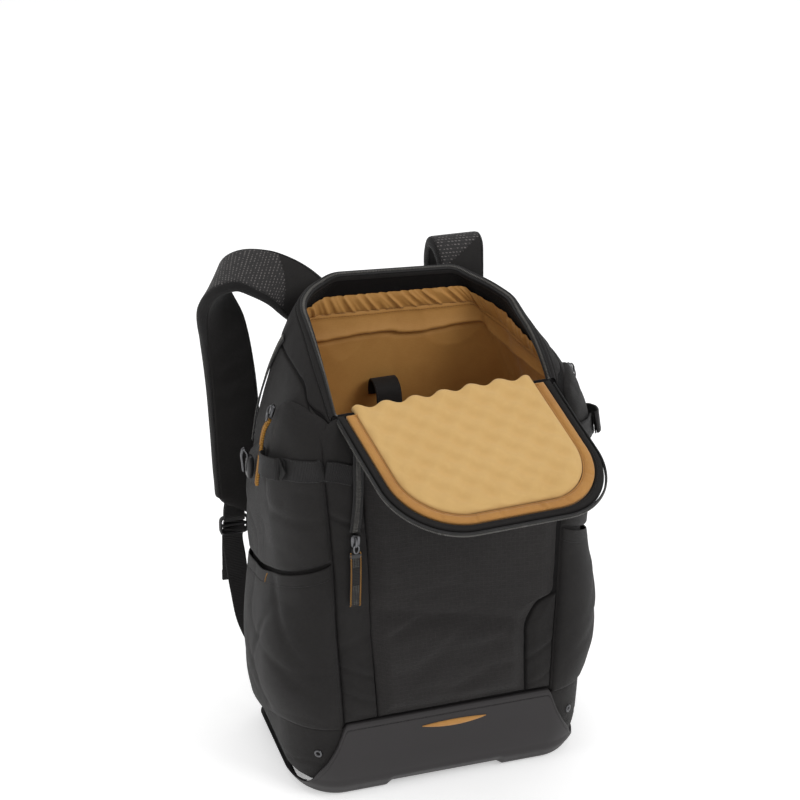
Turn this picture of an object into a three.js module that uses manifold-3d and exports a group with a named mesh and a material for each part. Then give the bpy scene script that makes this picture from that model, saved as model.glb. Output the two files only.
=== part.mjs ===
// A camera backpack, standing on its moulded base with its top flap folded open to the front.
// Millimetres. X runs to the right seen from the front, the front faces -Y, Z is up, and the floor is Z = 0.
import * as THREE from "three";
import { mergeVertices } from "three/addons/utils/BufferGeometryUtils.js";
import Module from "manifold-3d";

const wasm = await Module();
wasm.setup();

// Driving dimensions.
const BODY_WIDTH = 308;
const BODY_DEPTH = 182;
const BODY_HEIGHT = 484;
const BODY_BOTTOM = 11;
const BASE_HEIGHT = 80;
const BASE_THICKNESS = 4;
const FOOT_HEIGHT = 5;
const ARCH_DEPTH = 45;
const WALL = 8;
const LINING = 1.6;
const GAP = 0.4;
const FLAP_LENGTH = 146;
const FLAP_WIDTH = 208;
const FLAP_DEPTH = 15;
const FLAP_SLOPE = 29;
const FLAP_SKEW = 0.2;
const STRAP_WIDTH = 62;
const STRAP_THICKNESS = 12;
const WEBBING_WIDTH = 22;
const WEBBING_THICKNESS = 2;
const ZIP_WIDTH = 8;
const ZIP_THICKNESS = 2.2;

const HALF = BODY_WIDTH / 2;
const FRONT_Y = -BODY_DEPTH * 0.494;
const BACK_Y = BODY_DEPTH * 0.506;

// Body sections from the bottom to the rim of the mouth. rise is the share of the way up at that spot.
// front, mid and back are half widths at the outer front seam, the widest spot and the back, as shares of HALF.
// frontY and backY are shares of FRONT_Y and BACK_Y, and round is the radius of the back corner as a share of HALF.
const BODY_ROWS = [
  { rise: 0.0, front: 0.6, mid: 0.9, back: 0.9, frontY: 0.9, backY: 0.91, round: 0.14 },
  { rise: 0.025, front: 0.66, mid: 0.965, back: 0.955, frontY: 0.97, backY: 0.97, round: 0.15 },
  { rise: 0.08, front: 0.675, mid: 0.99, back: 0.974, frontY: 0.99, backY: 1.0, round: 0.16 },
  { rise: 0.17, front: 0.682, mid: 1.0, back: 0.974, frontY: 1.0, backY: 1.0, round: 0.17 },
  { rise: 0.32, front: 0.7, mid: 0.985, back: 0.974, frontY: 0.98, backY: 1.0, round: 0.17 },
  { rise: 0.46, front: 0.72, mid: 0.975, back: 0.974, frontY: 0.965, backY: 1.0, round: 0.17 },
  { rise: 0.6, front: 0.73, mid: 0.975, back: 0.97, frontY: 0.96, backY: 1.0, round: 0.18 },
  { rise: 0.72, front: 0.75, mid: 0.98, back: 0.935, frontY: 0.955, backY: 1.0, round: 0.2 },
  { rise: 0.82, front: 0.766, mid: 0.955, back: 0.86, frontY: 0.94, backY: 1.0, round: 0.22 },
  { rise: 0.9, front: 0.78, mid: 0.905, back: 0.79, frontY: 0.92, backY: 1.0, round: 0.26 },
  { rise: 0.955, front: 0.76, mid: 0.82, back: 0.745, frontY: 0.87, backY: 0.97, round: 0.3 },
  { rise: 1.0, front: 0.7, mid: 0.706, back: 0.7, frontY: 0.79, backY: 0.9, round: 0.345 },
];
// Height of the rim by depth: y as a share of FRONT_Y (negative) or BACK_Y, z as a share of BODY_HEIGHT.
// tilt is how far the rim rises to the right across HALF, in millimetres.
const RIM_ROWS = [
  { y: -0.78, z: 0.853, tilt: 5 },
  { y: -0.56, z: 0.884, tilt: 2 },
  { y: -0.39, z: 0.903, tilt: 0 },
  { y: -0.17, z: 0.921, tilt: -2 },
  { y: 0.11, z: 0.938, tilt: -7 },
  { y: 0.38, z: 0.953, tilt: -10 },
  { y: 0.63, z: 0.963, tilt: -12 },
  { y: 0.76, z: 0.971, tilt: -12 },
  { y: 0.84, z: 0.978, tilt: -11 },
  { y: 0.9, z: 0.99, tilt: -9 },
];
// Where the front, its rounded corner, the side, the back corner and the back end round half of a section.
const SEAM = 0.3;
const CORNER = 0.5;
const SIDE = 0.74;
const BACK = 0.84;
const MID_Y = 0.33;

function mix(a, b, t) {
  return a + (b - a) * t;
}
function clamp(v, low = 0, high = 1) {
  return Math.min(high, Math.max(low, v));
}
function smooth(t) {
  const c = clamp(t);
  return c * c * (3 - 2 * c);
}
function column(rows, key, at, name) {
  if (at <= rows[0][key]) return rows[0][name];
  for (let i = 1; i < rows.length; i += 1) {
    const low = rows[i - 1];
    const high = rows[i];
    if (at <= high[key]) {
      return mix(low[name], high[name], (at - low[key]) / (high[key] - low[key]));
    }
  }
  return rows[rows.length - 1][name];
}

// The outline of the body at one rise. share runs from 0 at the front centre to 1 at the back centre, + to the right.
function planAt(share, rise) {
  const at = (name) => column(BODY_ROWS, "rise", rise, name);
  const a = Math.abs(share);
  const side = share < 0 ? -1 : 1;
  const front = at("front") * HALF;
  const mid = at("mid") * HALF;
  const back = at("back") * HALF;
  const frontY = at("frontY") * FRONT_Y;
  const backY = at("backY") * BACK_Y;
  const round = at("round") * HALF;
  const midY = MID_Y * FRONT_Y;
  let x = 0;
  let y = 0;
  if (a <= SEAM) {
    x = (front * a) / SEAM;
    y = frontY;
  } else if (a <= CORNER) {
    const q = (((a - SEAM) / (CORNER - SEAM)) * Math.PI) / 2;
    x = front + (mid - front) * Math.sin(q);
    y = midY - (midY - frontY) * Math.cos(q);
  } else if (a <= SIDE) {
    const q = (a - CORNER) / (SIDE - CORNER);
    x = mix(mid, back, q);
    y = mix(midY, backY - round, q);
  } else if (a <= BACK) {
    const q = (((a - SIDE) / (BACK - SIDE)) * Math.PI) / 2;
    x = back - round * (1 - Math.cos(q));
    y = backY - round * (1 - Math.sin(q));
  } else {
    x = mix(back - round, 0, (a - BACK) / (1 - BACK));
    y = backY;
  }
  return [side * x, y];
}
function rimHeight(x, y) {
  const at = y < 0 ? -y / FRONT_Y : y / BACK_Y;
  const along = y < 0 ? -Math.abs(at) : at;
  const tilt = column(RIM_ROWS, "y", along, "tilt");
  return column(RIM_ROWS, "y", along, "z") * BODY_HEIGHT + (tilt * x) / HALF;
}
function skinPoint(share, rise) {
  const [x, y] = planAt(share, rise);
  const [rimX, rimY] = planAt(share, 1);
  const top = rimHeight(rimX, rimY);
  return new THREE.Vector3(x, y, mix(BODY_BOTTOM, top, rise));
}
// A point on the body's skin moved out along the skin's own normal.
function wallPoint(share, rise, out = 0) {
  const p = skinPoint(share, rise);
  if (out === 0) return p;
  const step = 0.004;
  const along = skinPoint(share + step, rise).sub(skinPoint(share - step, rise));
  const low = clamp(rise - step * 2);
  const high = clamp(rise + step * 2);
  const up = skinPoint(share, high).sub(skinPoint(share, low));
  const normal = along.cross(up).normalize();
  return p.addScaledVector(normal, out);
}
function riseAt(share, z) {
  const [rimX, rimY] = planAt(share, 1);
  return clamp((z - BODY_BOTTOM) / (rimHeight(rimX, rimY) - BODY_BOTTOM));
}
function wallAt(share, z, out = 0) {
  return wallPoint(share, riseAt(share, z), out);
}

// A closed body from rings of points, with both ends capped.
function loft(rings) {
  const size = rings[0].length;
  const positions = rings.flat().flatMap((p) => [p.x, p.y, p.z]);
  const index = [];
  for (let r = 0; r < rings.length - 1; r += 1) {
    for (let k = 0; k < size; k += 1) {
      const n = (k + 1) % size;
      const a = r * size + k;
      const b = r * size + n;
      const rising = rings[r][k].distanceTo(rings[r + 1][n]);
      const falling = rings[r][n].distanceTo(rings[r + 1][k]);
      if (rising < falling - 0.05) index.push(a, b, b + size, a, b + size, a + size);
      else index.push(a, b, a + size, b, b + size, a + size);
    }
  }
  for (const [first, turn] of [[0, true], [(rings.length - 1) * size, false]]) {
    const ring = rings[turn ? 0 : rings.length - 1];
    const centre = ring.reduce((sum, p) => sum.add(p), new THREE.Vector3()).divideScalar(size);
    const hub = positions.length / 3;
    positions.push(centre.x, centre.y, centre.z);
    for (let k = 0; k < size; k += 1) {
      const a = first + k;
      const b = first + ((k + 1) % size);
      index.push(...(turn ? [b, a, hub] : [a, b, hub]));
    }
  }
  return solidFrom(positions, index);
}
// A closed body between a front and a back grid of points, [row][column].
function sheetBody(front, back) {
  const rows = front.length;
  const columns = front[0].length;
  const positions = [...front.flat(), ...back.flat()].flatMap((p) => [p.x, p.y, p.z]);
  const index = [];
  const half = rows * columns;
  const quad = (a, b, c, d) => index.push(a, b, c, a, c, d);
  for (let r = 0; r < rows - 1; r += 1) {
    for (let k = 0; k < columns - 1; k += 1) {
      const a = r * columns + k;
      quad(a, a + 1, a + 1 + columns, a + columns);
      quad(half + a, half + a + columns, half + a + 1 + columns, half + a + 1);
    }
  }
  for (let k = 0; k < columns - 1; k += 1) {
    const last = (rows - 1) * columns + k;
    quad(k + 1, k, half + k, half + k + 1);
    quad(last, last + 1, half + last + 1, half + last);
  }
  for (let r = 0; r < rows - 1; r += 1) {
    const left = r * columns;
    const right = left + columns - 1;
    quad(left, left + columns, half + left + columns, half + left);
    quad(right + columns, right, half + right, half + right + columns);
  }
  return solidFrom(positions, index);
}
function solidFrom(positions, index) {
  const mesh = new wasm.Mesh({
    numProp: 3,
    vertProperties: new Float32Array(positions),
    triVerts: new Uint32Array(index),
  });
  mesh.merge();
  const made = new wasm.Manifold(mesh);
  return made.volume() < 0 ? solidFrom(positions, flipped(index)) : made;
}
function flipped(index) {
  const out = [];
  for (let i = 0; i < index.length; i += 3) out.push(index[i], index[i + 2], index[i + 1]);
  return out;
}
// A band of oblong section along a path. frames give each spot's across and face directions.
function band(path, width, thickness, faceAt, widthAt = () => 1, corner = 0.35) {
  const rings = path.map((p, i) => {
    const before = path[Math.max(0, i - 1)];
    const after = path[Math.min(path.length - 1, i + 1)];
    const ahead = after.clone().sub(before).normalize();
    const face = faceAt(i / (path.length - 1), p, ahead).clone().normalize();
    const across = ahead.clone().cross(face).normalize();
    const up = across.clone().cross(ahead).normalize();
    const w = (width / 2) * widthAt(i / (path.length - 1));
    const t = thickness / 2;
    const c = Math.min(corner * thickness, w * 0.5);
    const outline = [
      [w, -t + c],
      [w, t - c],
      [w - c, t],
      [-w + c, t],
      [-w, t - c],
      [-w, -t + c],
      [-w + c, -t],
      [w - c, -t],
    ];
    return outline.map(([s, h]) => p.clone().addScaledVector(across, s).addScaledVector(up, h));
  });
  return loft(rings);
}
function box(width, depth, height, at) {
  return wasm.Manifold.cube([width, depth, height], true).translate(at);
}

const group = new THREE.Group();
group.name = "camera_backpack";
function add(name, solid, color, roughness = 0.85) {
  const mesh = solid.getMesh();
  const geometry = new THREE.BufferGeometry();
  const count = mesh.numProp;
  const positions = [];
  for (let i = 0; i < mesh.numVert; i += 1) {
    for (let k = 0; k < 3; k += 1) positions.push(mesh.vertProperties[i * count + k]);
  }
  geometry.setAttribute("position", new THREE.Float32BufferAttribute(positions, 3));
  geometry.setIndex([...mesh.triVerts]);
  const made = new THREE.Mesh(
    mergeVertices(geometry, 1e-4),
    new THREE.MeshStandardMaterial({ color, roughness }),
  );
  made.name = name;
  group.add(made);
}
const BLACK = 0x2b2a2b;
const COATED = 0x3a3839;
const TAN = 0xc68f45;
const PAD = 0xd5ad6b;
const GOLD = 0xc08a30;
const PLASTIC = 0x232325;
const METAL = 0x6c6d70;

// Shares round a section at which the body's rings have points.
const HALF_SHARES = [0, 0.1, 0.2, 0.3, 0.345, 0.385, 0.425, 0.465, 0.5, 0.58, 0.66, 0.74, 0.775, 0.81, 0.84, 0.92];
const SHARES = [
  ...HALF_SHARES,
  1,
  ...HALF_SHARES.slice(1).reverse().map((s) => -s),
];
function bodyRing(rise, out, shares = SHARES) {
  return shares.map((share) => wallPoint(share, rise, out));
}
const RISES = BODY_ROWS.map((row) => row.rise);
const INNER_RISES = [1.0, 0.955, 0.925, 0.82, 0.6, 0.32, 0.06, 0.045];

// The whole body without its hollow, grown by out: what pieces that lie on the body are cut against.
function bodyCore(out) {
  return loft(RISES.map((rise) => bodyRing(rise, out)));
}
const coreGrown = bodyCore(GAP);
function offBody(solid) {
  return solid.subtract(coreGrown);
}

const shell = loft([
  ...RISES.map((rise) => bodyRing(rise, 0)),
  ...INNER_RISES.map((rise) => bodyRing(rise, -WALL)),
]);
const shellRaised = shell.translate([0, 0, GAP]);
add("body_shell", shell, BLACK);

// The moulded base: an apron up the front and a plate below, arched between the two front feet.
const BASE_ROWS = [
  { z: 0, inset: 11 },
  { z: 0.06, inset: 4 },
  { z: 0.22, inset: -BASE_THICKNESS * 0.9 },
  { z: 0.55, inset: -BASE_THICKNESS * 1.25 },
  { z: 0.94, inset: -BASE_THICKNESS * 1.1 },
  { z: 1, inset: -BASE_THICKNESS * 0.7 },
];
// The apron's rear edge seen from the side: depth as a share of FRONT_Y, height as a share of BASE_HEIGHT.
const APRON_EDGE = [
  { y: 1.0, z: 1.0 },
  { y: 0.97, z: 0.74 },
  { y: 0.94, z: 0.51 },
  { y: 0.9, z: 0.4 },
  { y: 0.84, z: 0.26 },
  { y: 0.7, z: 0.12 },
];
function baseSolid() {
  const rings = BASE_ROWS.map((row) => {
    const z = row.z * BASE_HEIGHT;
    return SHARES.map((share) => {
      const skin = wallPoint(share, Math.max(0.03, riseAt(share, z)), -row.inset);
      return new THREE.Vector3(skin.x, skin.y, z);
    });
  });
  const outer = loft(rings);
  const plateTop = BODY_BOTTOM - GAP;
  const edge = APRON_EDGE.map((row) => [row.y * FRONT_Y, row.z * BASE_HEIGHT]);
  const outline = [
    [FRONT_Y * 2, -1],
    [FRONT_Y * 2, BASE_HEIGHT + 1],
    [edge[0][0], BASE_HEIGHT + 1],
    ...edge,
    [FRONT_Y * 0.55, plateTop],
    [BACK_Y * 1.2, plateTop],
    [BACK_Y * 1.2, -1],
  ];
  const keep = new wasm.CrossSection([outline], "EvenOdd")
    .extrude(BODY_WIDTH * 1.4, 0, 0, [1, 1], true)
    .rotate([90, 0, 0])
    .rotate([0, 0, 90]);
  const channel = box(HALF * 0.76, ARCH_DEPTH * 2, FOOT_HEIGHT * 2, [0, FRONT_Y - BASE_THICKNESS, 0]);
  return offBody(outer.intersect(keep).subtract(channel));
}
add("base", baseSolid(), COATED, 0.6);

// Overlays of the front. outward is how far the outer face stands off the body, in millimetres.
const INNER_SEAM = 0.212;
const FRONT_TOP = 0.93;
const OVERLAY_LOW = riseAt(0, BASE_HEIGHT + 2.5);
const PANEL_ROWS = [
  { rise: OVERLAY_LOW, out: 3.5, right: 0.205 },
  { rise: 0.24, out: 8.5, right: 0.205 },
  { rise: 0.3, out: 10.5, right: 0.205 },
  { rise: 0.36, out: 11, right: 0.205 },
  { rise: 0.415, out: 8.5, right: 0.208 },
  { rise: 0.445, out: 5, right: 0.23 },
  { rise: 0.475, out: 6.5, right: 0.27 },
  { rise: 0.53, out: 6, right: 0.291 },
  { rise: 0.66, out: 5.5, right: 0.291 },
  { rise: 0.8, out: 4.5, right: 0.291 },
  { rise: FRONT_TOP, out: 3, right: 0.291 },
];
// Slanting creases of the bulging lower half: height as rise, depth in millimetres, slope in rise per share.
const CREASES = [
  { rise: 0.375, depth: 3.2, slope: 0.3, width: 0.018 },
  { rise: 0.31, depth: 2.4, slope: 0.45, width: 0.022 },
  { rise: 0.245, depth: 1.8, slope: 0.2, width: 0.02 },
];
function creaseAt(share, rise) {
  let depth = 0;
  for (const crease of CREASES) {
    const off = (rise - crease.rise - crease.slope * (share + 0.05)) / crease.width;
    depth += crease.depth * Math.exp(-off * off);
  }
  return depth;
}
function frontPocket(grow = 0) {
  const count = 12;
  const left = -INNER_SEAM + 0.006;
  const grid = (outOf) =>
    PANEL_ROWS.map((row) => {
      const points = [];
      for (let k = 0; k <= count; k += 1) {
        const share = mix(left, row.right, k / count);
        points.push(wallPoint(share, row.rise, outOf(row, share, k / count)));
      }
      return points;
    });
  const outer = grid((row, share, t) => {
    const edge = smooth(Math.min(t, 1 - t) * 7);
    return grow + mix(2.5, row.out - creaseAt(share, row.rise), edge);
  });
  return offBody(sheetBody(outer, grid(() => 0)));
}
add("front_pocket", frontPocket(), BLACK);

// Narrow strips between the pocket and the outer seams: the left one runs full height, the right one stops low.
const LEFT_STRIP_RISES = [OVERLAY_LOW, 0.25, 0.32, 0.46, 0.6, 0.72, 0.82, 0.9, FRONT_TOP];
const RIGHT_STRIP_RISES = [OVERLAY_LOW, 0.23, 0.28, 0.34, 0.4, 0.44, 0.485];
const STRIP_EDGE = 0.294;
function frontStrip(side, grow = 0) {
  const rises = side < 0 ? LEFT_STRIP_RISES : RIGHT_STRIP_RISES;
  const innerEdge = (rise) => {
    if (side < 0) return INNER_SEAM + 0.002;
    return column(PANEL_ROWS, "rise", rise, "right") + 0.009;
  };
  const grid = (outOf) =>
    rises.map((rise) =>
      [0, 0.25, 0.5, 0.75, 1].map((t) => {
        const share = side * mix(innerEdge(rise), STRIP_EDGE, t);
        return wallPoint(share, rise, outOf(rise, t));
      }),
    );
  const outer = grid((rise, t) => grow + 2.2 + 2.4 * Math.sin(Math.PI * t) * (0.75 + 0.25 * Math.cos(rise * 60)));
  return offBody(sheetBody(outer, grid(() => 0)));
}
add("front_strip_left", frontStrip(-1), BLACK);
add("front_strip_right", frontStrip(1), BLACK);

// Side pockets: the upper one is closed by a zip, the lower one is an open pouch that stands off the body.
// share runs round the section; top and low bound the upper pocket, foot is the pouch's bottom seam, as BODY_HEIGHT.
const POCKET_ROWS = [
  { share: 0.306, top: 0.826, low: 0.552, foot: 0.168 },
  { share: 0.345, top: 0.834, low: 0.54, foot: 0.168 },
  { share: 0.385, top: 0.84, low: 0.527, foot: 0.166 },
  { share: 0.425, top: 0.845, low: 0.512, foot: 0.163 },
  { share: 0.465, top: 0.848, low: 0.497, foot: 0.156 },
  { share: 0.5, top: 0.846, low: 0.484, foot: 0.143 },
  { share: 0.54, top: 0.832, low: 0.47, foot: 0.128 },
  { share: 0.58, top: 0.79, low: 0.456, foot: 0.11 },
  { share: 0.62, top: 0.745, low: 0.445, foot: 0.092 },
  { share: 0.66, top: 0.712, low: 0.436, foot: 0.076 },
  { share: 0.7, top: 0.688, low: 0.428, foot: 0.066 },
  { share: 0.74, top: 0.665, low: 0.42, foot: 0.062 },
  { share: 0.775, top: 0.628, low: 0.417, foot: 0.06 },
  { share: 0.8, top: 0.585, low: 0.416, foot: 0.06 },
];
const POCKET_BULGE = 8;
const POUCH_CLOTH = 2.2;
function pocketOut(share, t) {
  const span = (Math.abs(share) - POCKET_ROWS[0].share) / (POCKET_ROWS.at(-1).share - POCKET_ROWS[0].share);
  const across = Math.pow(Math.max(0, Math.sin(Math.PI * clamp(span))), 0.55);
  const up = Math.pow(Math.max(0, Math.sin(Math.PI * clamp(mix(0.06, 0.97, t)))), 0.5);
  return 2.4 + (POCKET_BULGE - 0.4) * across * up;
}
const POCKET_STEPS = [0, 0.07, 0.25, 0.5, 0.75, 0.92, 1];
function upperPocket(side, grow = 0) {
  const grid = (outOf) =>
    POCKET_STEPS.map((t) =>
      POCKET_ROWS.map((row) => {
        const z = mix(row.low, row.top, t) * BODY_HEIGHT;
        return wallAt(side * row.share, z, outOf(row.share, t));
      }),
    );
  return offBody(sheetBody(grid((share, t) => grow + pocketOut(share, t)), grid(() => 0)));
}
add("side_pocket_left", upperPocket(-1), BLACK);
add("side_pocket_right", upperPocket(1), BLACK);

// How far the pouch stands off from its foot (0) to its mouth (1), as shares of POUCH_DEPTH.
const POUCH_DEPTH = 20;
const POUCH_STEPS = [
  { t: 0, out: 0.16 },
  { t: 0.1, out: 0.5 },
  { t: 0.28, out: 0.86 },
  { t: 0.5, out: 1 },
  { t: 0.72, out: 0.86 },
  { t: 0.88, out: 0.62 },
  { t: 1, out: 0.44 },
];
function pouchOut(share, step) {
  const span = (Math.abs(share) - POCKET_ROWS[0].share) / (POCKET_ROWS.at(-1).share - POCKET_ROWS[0].share);
  const across = Math.pow(Math.max(0, Math.sin(Math.PI * clamp(span))), 0.5);
  return 2.8 + (POUCH_DEPTH * step.out - 2.8) * across;
}
function lowerPouch(side) {
  const last = POCKET_ROWS.length - 1;
  const grid = (outOf) =>
    POUCH_STEPS.map((step) =>
      POCKET_ROWS.map((row, k) => {
        const z = mix(row.foot, row.low - 0.008, step.t) * BODY_HEIGHT;
        const edge = k === 0 || k === last || step.t === 0;
        return wallAt(side * row.share, z, outOf(row.share, step, edge));
      }),
    );
  const outer = grid((share, step) => pouchOut(share, step));
  const inner = grid((share, step, edge) => (edge ? 0 : Math.max(0, pouchOut(share, step) - POUCH_CLOTH)));
  return offBody(sheetBody(outer, inner));
}
add("side_pouch_left", lowerPouch(-1), BLACK);
add("side_pouch_right", lowerPouch(1), BLACK);

// Zips: the mouth's runs round the rim from hinge to hinge.
const BACKWARD = [0.312, 0.345, 0.385, 0.425, 0.465, 0.5, 0.58, 0.66, 0.74, 0.775, 0.81, 0.84, 0.92];
const MOUTH_SHARES = [...BACKWARD.map((s) => -s), 1, ...BACKWARD.slice().reverse()];
function rimFace(share) {
  const outer = wallPoint(share, 1, 0);
  const inner = wallPoint(share, 1, -WALL);
  const ahead = wallPoint(share + 0.01, 1, 0).sub(wallPoint(share - 0.01, 1, 0));
  const up = inner.clone().sub(outer).cross(ahead).normalize();
  return up.z < 0 ? up.negate() : up;
}
function mouthZip() {
  const lift = GAP + ZIP_THICKNESS / 2 + 0.3;
  const path = MOUTH_SHARES.map((share) => {
    const middle = wallPoint(share, 1, 0).lerp(wallPoint(share, 1, -WALL), 0.45);
    return middle.addScaledVector(rimFace(share), lift);
  });
  const faceAt = (t) => rimFace(MOUTH_SHARES[Math.round(t * (MOUTH_SHARES.length - 1))]);
  return offBody(band(path, ZIP_WIDTH - 1, ZIP_THICKNESS, faceAt)).subtract(shellRaised);
}
add("mouth_zip", mouthZip(), PLASTIC, 0.5);

// The flap's own frame: s runs along the hinge, t away from the body, h up from its lined side.
const hingeLeft = wallPoint(-SEAM, 1);
const hingeRight = wallPoint(SEAM, 1);
const hinge = hingeLeft.clone().lerp(hingeRight, 0.5);
const alongHinge = hingeRight.clone().sub(hingeLeft).normalize();
const slope = (FLAP_SLOPE * Math.PI) / 180;
const down = new THREE.Vector3(0, -Math.cos(slope), -Math.sin(slope));
const outFromHinge = down.addScaledVector(alongHinge, -down.dot(alongHinge)).normalize();
const flapUp = outFromHinge.clone().cross(alongHinge).normalize();
function flapPoint(s, t, h) {
  return hinge
    .clone()
    .addScaledVector(alongHinge, s + FLAP_SKEW * t)
    .addScaledVector(outFromHinge, t)
    .addScaledVector(flapUp, h);
}
const FLAP_CORNER = FLAP_LENGTH * 0.42;
const FLAP_NEAR = 1.2;
// Half width of the flap at distance t from the hinge, drawn in by inset.
function flapHalf(t, inset) {
  const half = FLAP_WIDTH / 2 - inset;
  const radius = FLAP_CORNER - inset * 0.6;
  const over = t - (FLAP_LENGTH - inset - radius);
  if (over <= 0) return half;
  return half - radius + Math.sqrt(Math.max(0, radius * radius - over * over));
}
function flapRing(inset, h, near = FLAP_NEAR) {
  const radius = FLAP_CORNER - inset * 0.6;
  const straight = FLAP_LENGTH - inset - radius;
  const ts = [near, straight * 0.33, straight * 0.66, straight];
  for (const a of [15, 30, 45, 60, 75, 90]) ts.push(straight + radius * Math.sin((a * Math.PI) / 180));
  const left = ts.map((t) => [-flapHalf(t, inset), t]);
  const right = ts.map((t) => [flapHalf(t, inset), t]).reverse();
  const flat = flapHalf(FLAP_LENGTH - inset, inset);
  const far = [-0.33, 0.33].map((f) => [flat * f, FLAP_LENGTH - inset]);
  const nearHalf = flapHalf(near, inset);
  const close = [0.5, 0, -0.5].map((f) => [nearHalf * f, near]);
  return [...left, ...far, ...right, ...close].map(([s, t]) => flapPoint(s, t, h(t)));
}
function flapDepth(t) {
  return mix(4, FLAP_DEPTH, smooth(t / (FLAP_LENGTH * 0.3)));
}
const FLAP_RIM = 6.5;
const RECESS = 4;
add(
  "flap_shell",
  offBody(
    loft([
      flapRing(18, (t) => -flapDepth(t)),
      flapRing(5, (t) => -flapDepth(t) * 0.86),
      flapRing(0, (t) => -flapDepth(t) * 0.4),
      flapRing(0.8, () => 0),
      flapRing(FLAP_RIM, () => 0, FLAP_NEAR + 1),
      flapRing(FLAP_RIM + 0.6, () => -RECESS, FLAP_NEAR + 1.4),
    ]),
  ),
  BLACK,
);
function closedLoops(loops) {
  const size = loops[0].length;
  const positions = loops.flat().flatMap((p) => [p.x, p.y, p.z]);
  const index = [];
  loops.forEach((loop, r) => {
    const next = ((r + 1) % loops.length) * size;
    for (let k = 0; k < size; k += 1) {
      const a = r * size + k;
      const b = r * size + ((k + 1) % size);
      const c = next + ((k + 1) % size);
      index.push(a, b, c, a, c, next + k);
    }
  });
  return solidFrom(positions, index);
}
const EDGE_WIDTH = 9;
const edgeOuter = FLAP_RIM + 1.1;
add(
  "flap_edge",
  offBody(closedLoops([
    flapRing(edgeOuter, () => GAP - RECESS, FLAP_NEAR + 2),
    flapRing(edgeOuter, () => 0.2, FLAP_NEAR + 2),
    flapRing(edgeOuter + 2, () => 1.6, FLAP_NEAR + 2.6),
    flapRing(edgeOuter + EDGE_WIDTH, () => 0.9, FLAP_NEAR + 4.6),
    flapRing(edgeOuter + EDGE_WIDTH, () => GAP - RECESS, FLAP_NEAR + 4.6),
  ])),
  TAN,
);
// The foam pad: an egg-crate face with PAD_WAVES rows of bumps, on a flat underside.
const PAD_RISE = 4;
const PAD_BUMP = 1.7;
const PAD_PITCH = 28;
function flapPad() {
  const inset = edgeOuter + EDGE_WIDTH + 0.5;
  const near = FLAP_NEAR + 5.2;
  const far = FLAP_LENGTH - inset - 0.6;
  const rows = 12;
  const columns = 18;
  const top = [];
  for (let r = 0; r <= rows; r += 1) {
    const t = mix(near, far, r / rows);
    const line = [];
    for (let k = 0; k <= columns; k += 1) {
      const s = flapHalf(t, inset) * mix(-1, 1, k / columns);
      const rim = Math.min(r, rows - r, k, columns - k);
      const wave = Math.cos((2 * Math.PI * s) / PAD_PITCH) * Math.cos((2 * Math.PI * t) / PAD_PITCH);
      line.push(flapPoint(s, t, rim === 0 ? 0.8 : PAD_RISE + PAD_BUMP * wave));
    }
    top.push(line);
  }
  const bottom = [];
  for (let k = 0; k <= columns; k += 1) bottom.push(top[0][k]);
  for (let r = 1; r <= rows; r += 1) bottom.push(top[r][columns]);
  for (let k = columns - 1; k >= 0; k -= 1) bottom.push(top[rows][k]);
  for (let r = rows - 1; r > 0; r -= 1) bottom.push(top[r][0]);
  const positions = [...top.flat()].flatMap((p) => [p.x, p.y, p.z]);
  const index = [];
  const width = columns + 1;
  for (let r = 0; r < rows; r += 1) {
    for (let k = 0; k < columns; k += 1) {
      const a = r * width + k;
      index.push(a, a + 1, a + 1 + width, a, a + 1 + width, a + width);
    }
  }
  const edge = [];
  for (let k = 0; k <= columns; k += 1) edge.push(k);
  for (let r = 1; r <= rows; r += 1) edge.push(r * width + columns);
  for (let k = columns - 1; k >= 0; k -= 1) edge.push(rows * width + k);
  for (let r = rows - 1; r > 0; r -= 1) edge.push(r * width);
  const first = positions.length / 3;
  for (const p of bottom) {
    const low = p.clone().addScaledVector(flapUp, GAP - RECESS - 0.8);
    positions.push(low.x, low.y, low.z);
  }
  const hub = first + bottom.length;
  const middle = flapPoint(0, FLAP_LENGTH * 0.5, GAP - RECESS);
  positions.push(middle.x, middle.y, middle.z);
  edge.forEach((top0, k) => {
    const n = (k + 1) % edge.length;
    index.push(edge[n], top0, first + k, edge[n], first + k, first + n);
    index.push(first + n, first + k, hub);
  });
  return solidFrom(positions, index);
}
add("flap_pad", flapPad(), PAD, 0.95);
function flapZip() {
  const ring = flapRing(-GAP - ZIP_THICKNESS / 2 - 0.4, (t) => -flapDepth(t) * 0.42, FLAP_NEAR + 4);
  const path = ring.slice(0, ring.length - 3);
  const middle = flapPoint(0, FLAP_LENGTH * 0.4, 0);
  return offBody(band(path, ZIP_WIDTH - 2, ZIP_THICKNESS, (t, p) => p.clone().sub(middle)));
}
add("flap_zip", flapZip(), PLASTIC, 0.5);

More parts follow.
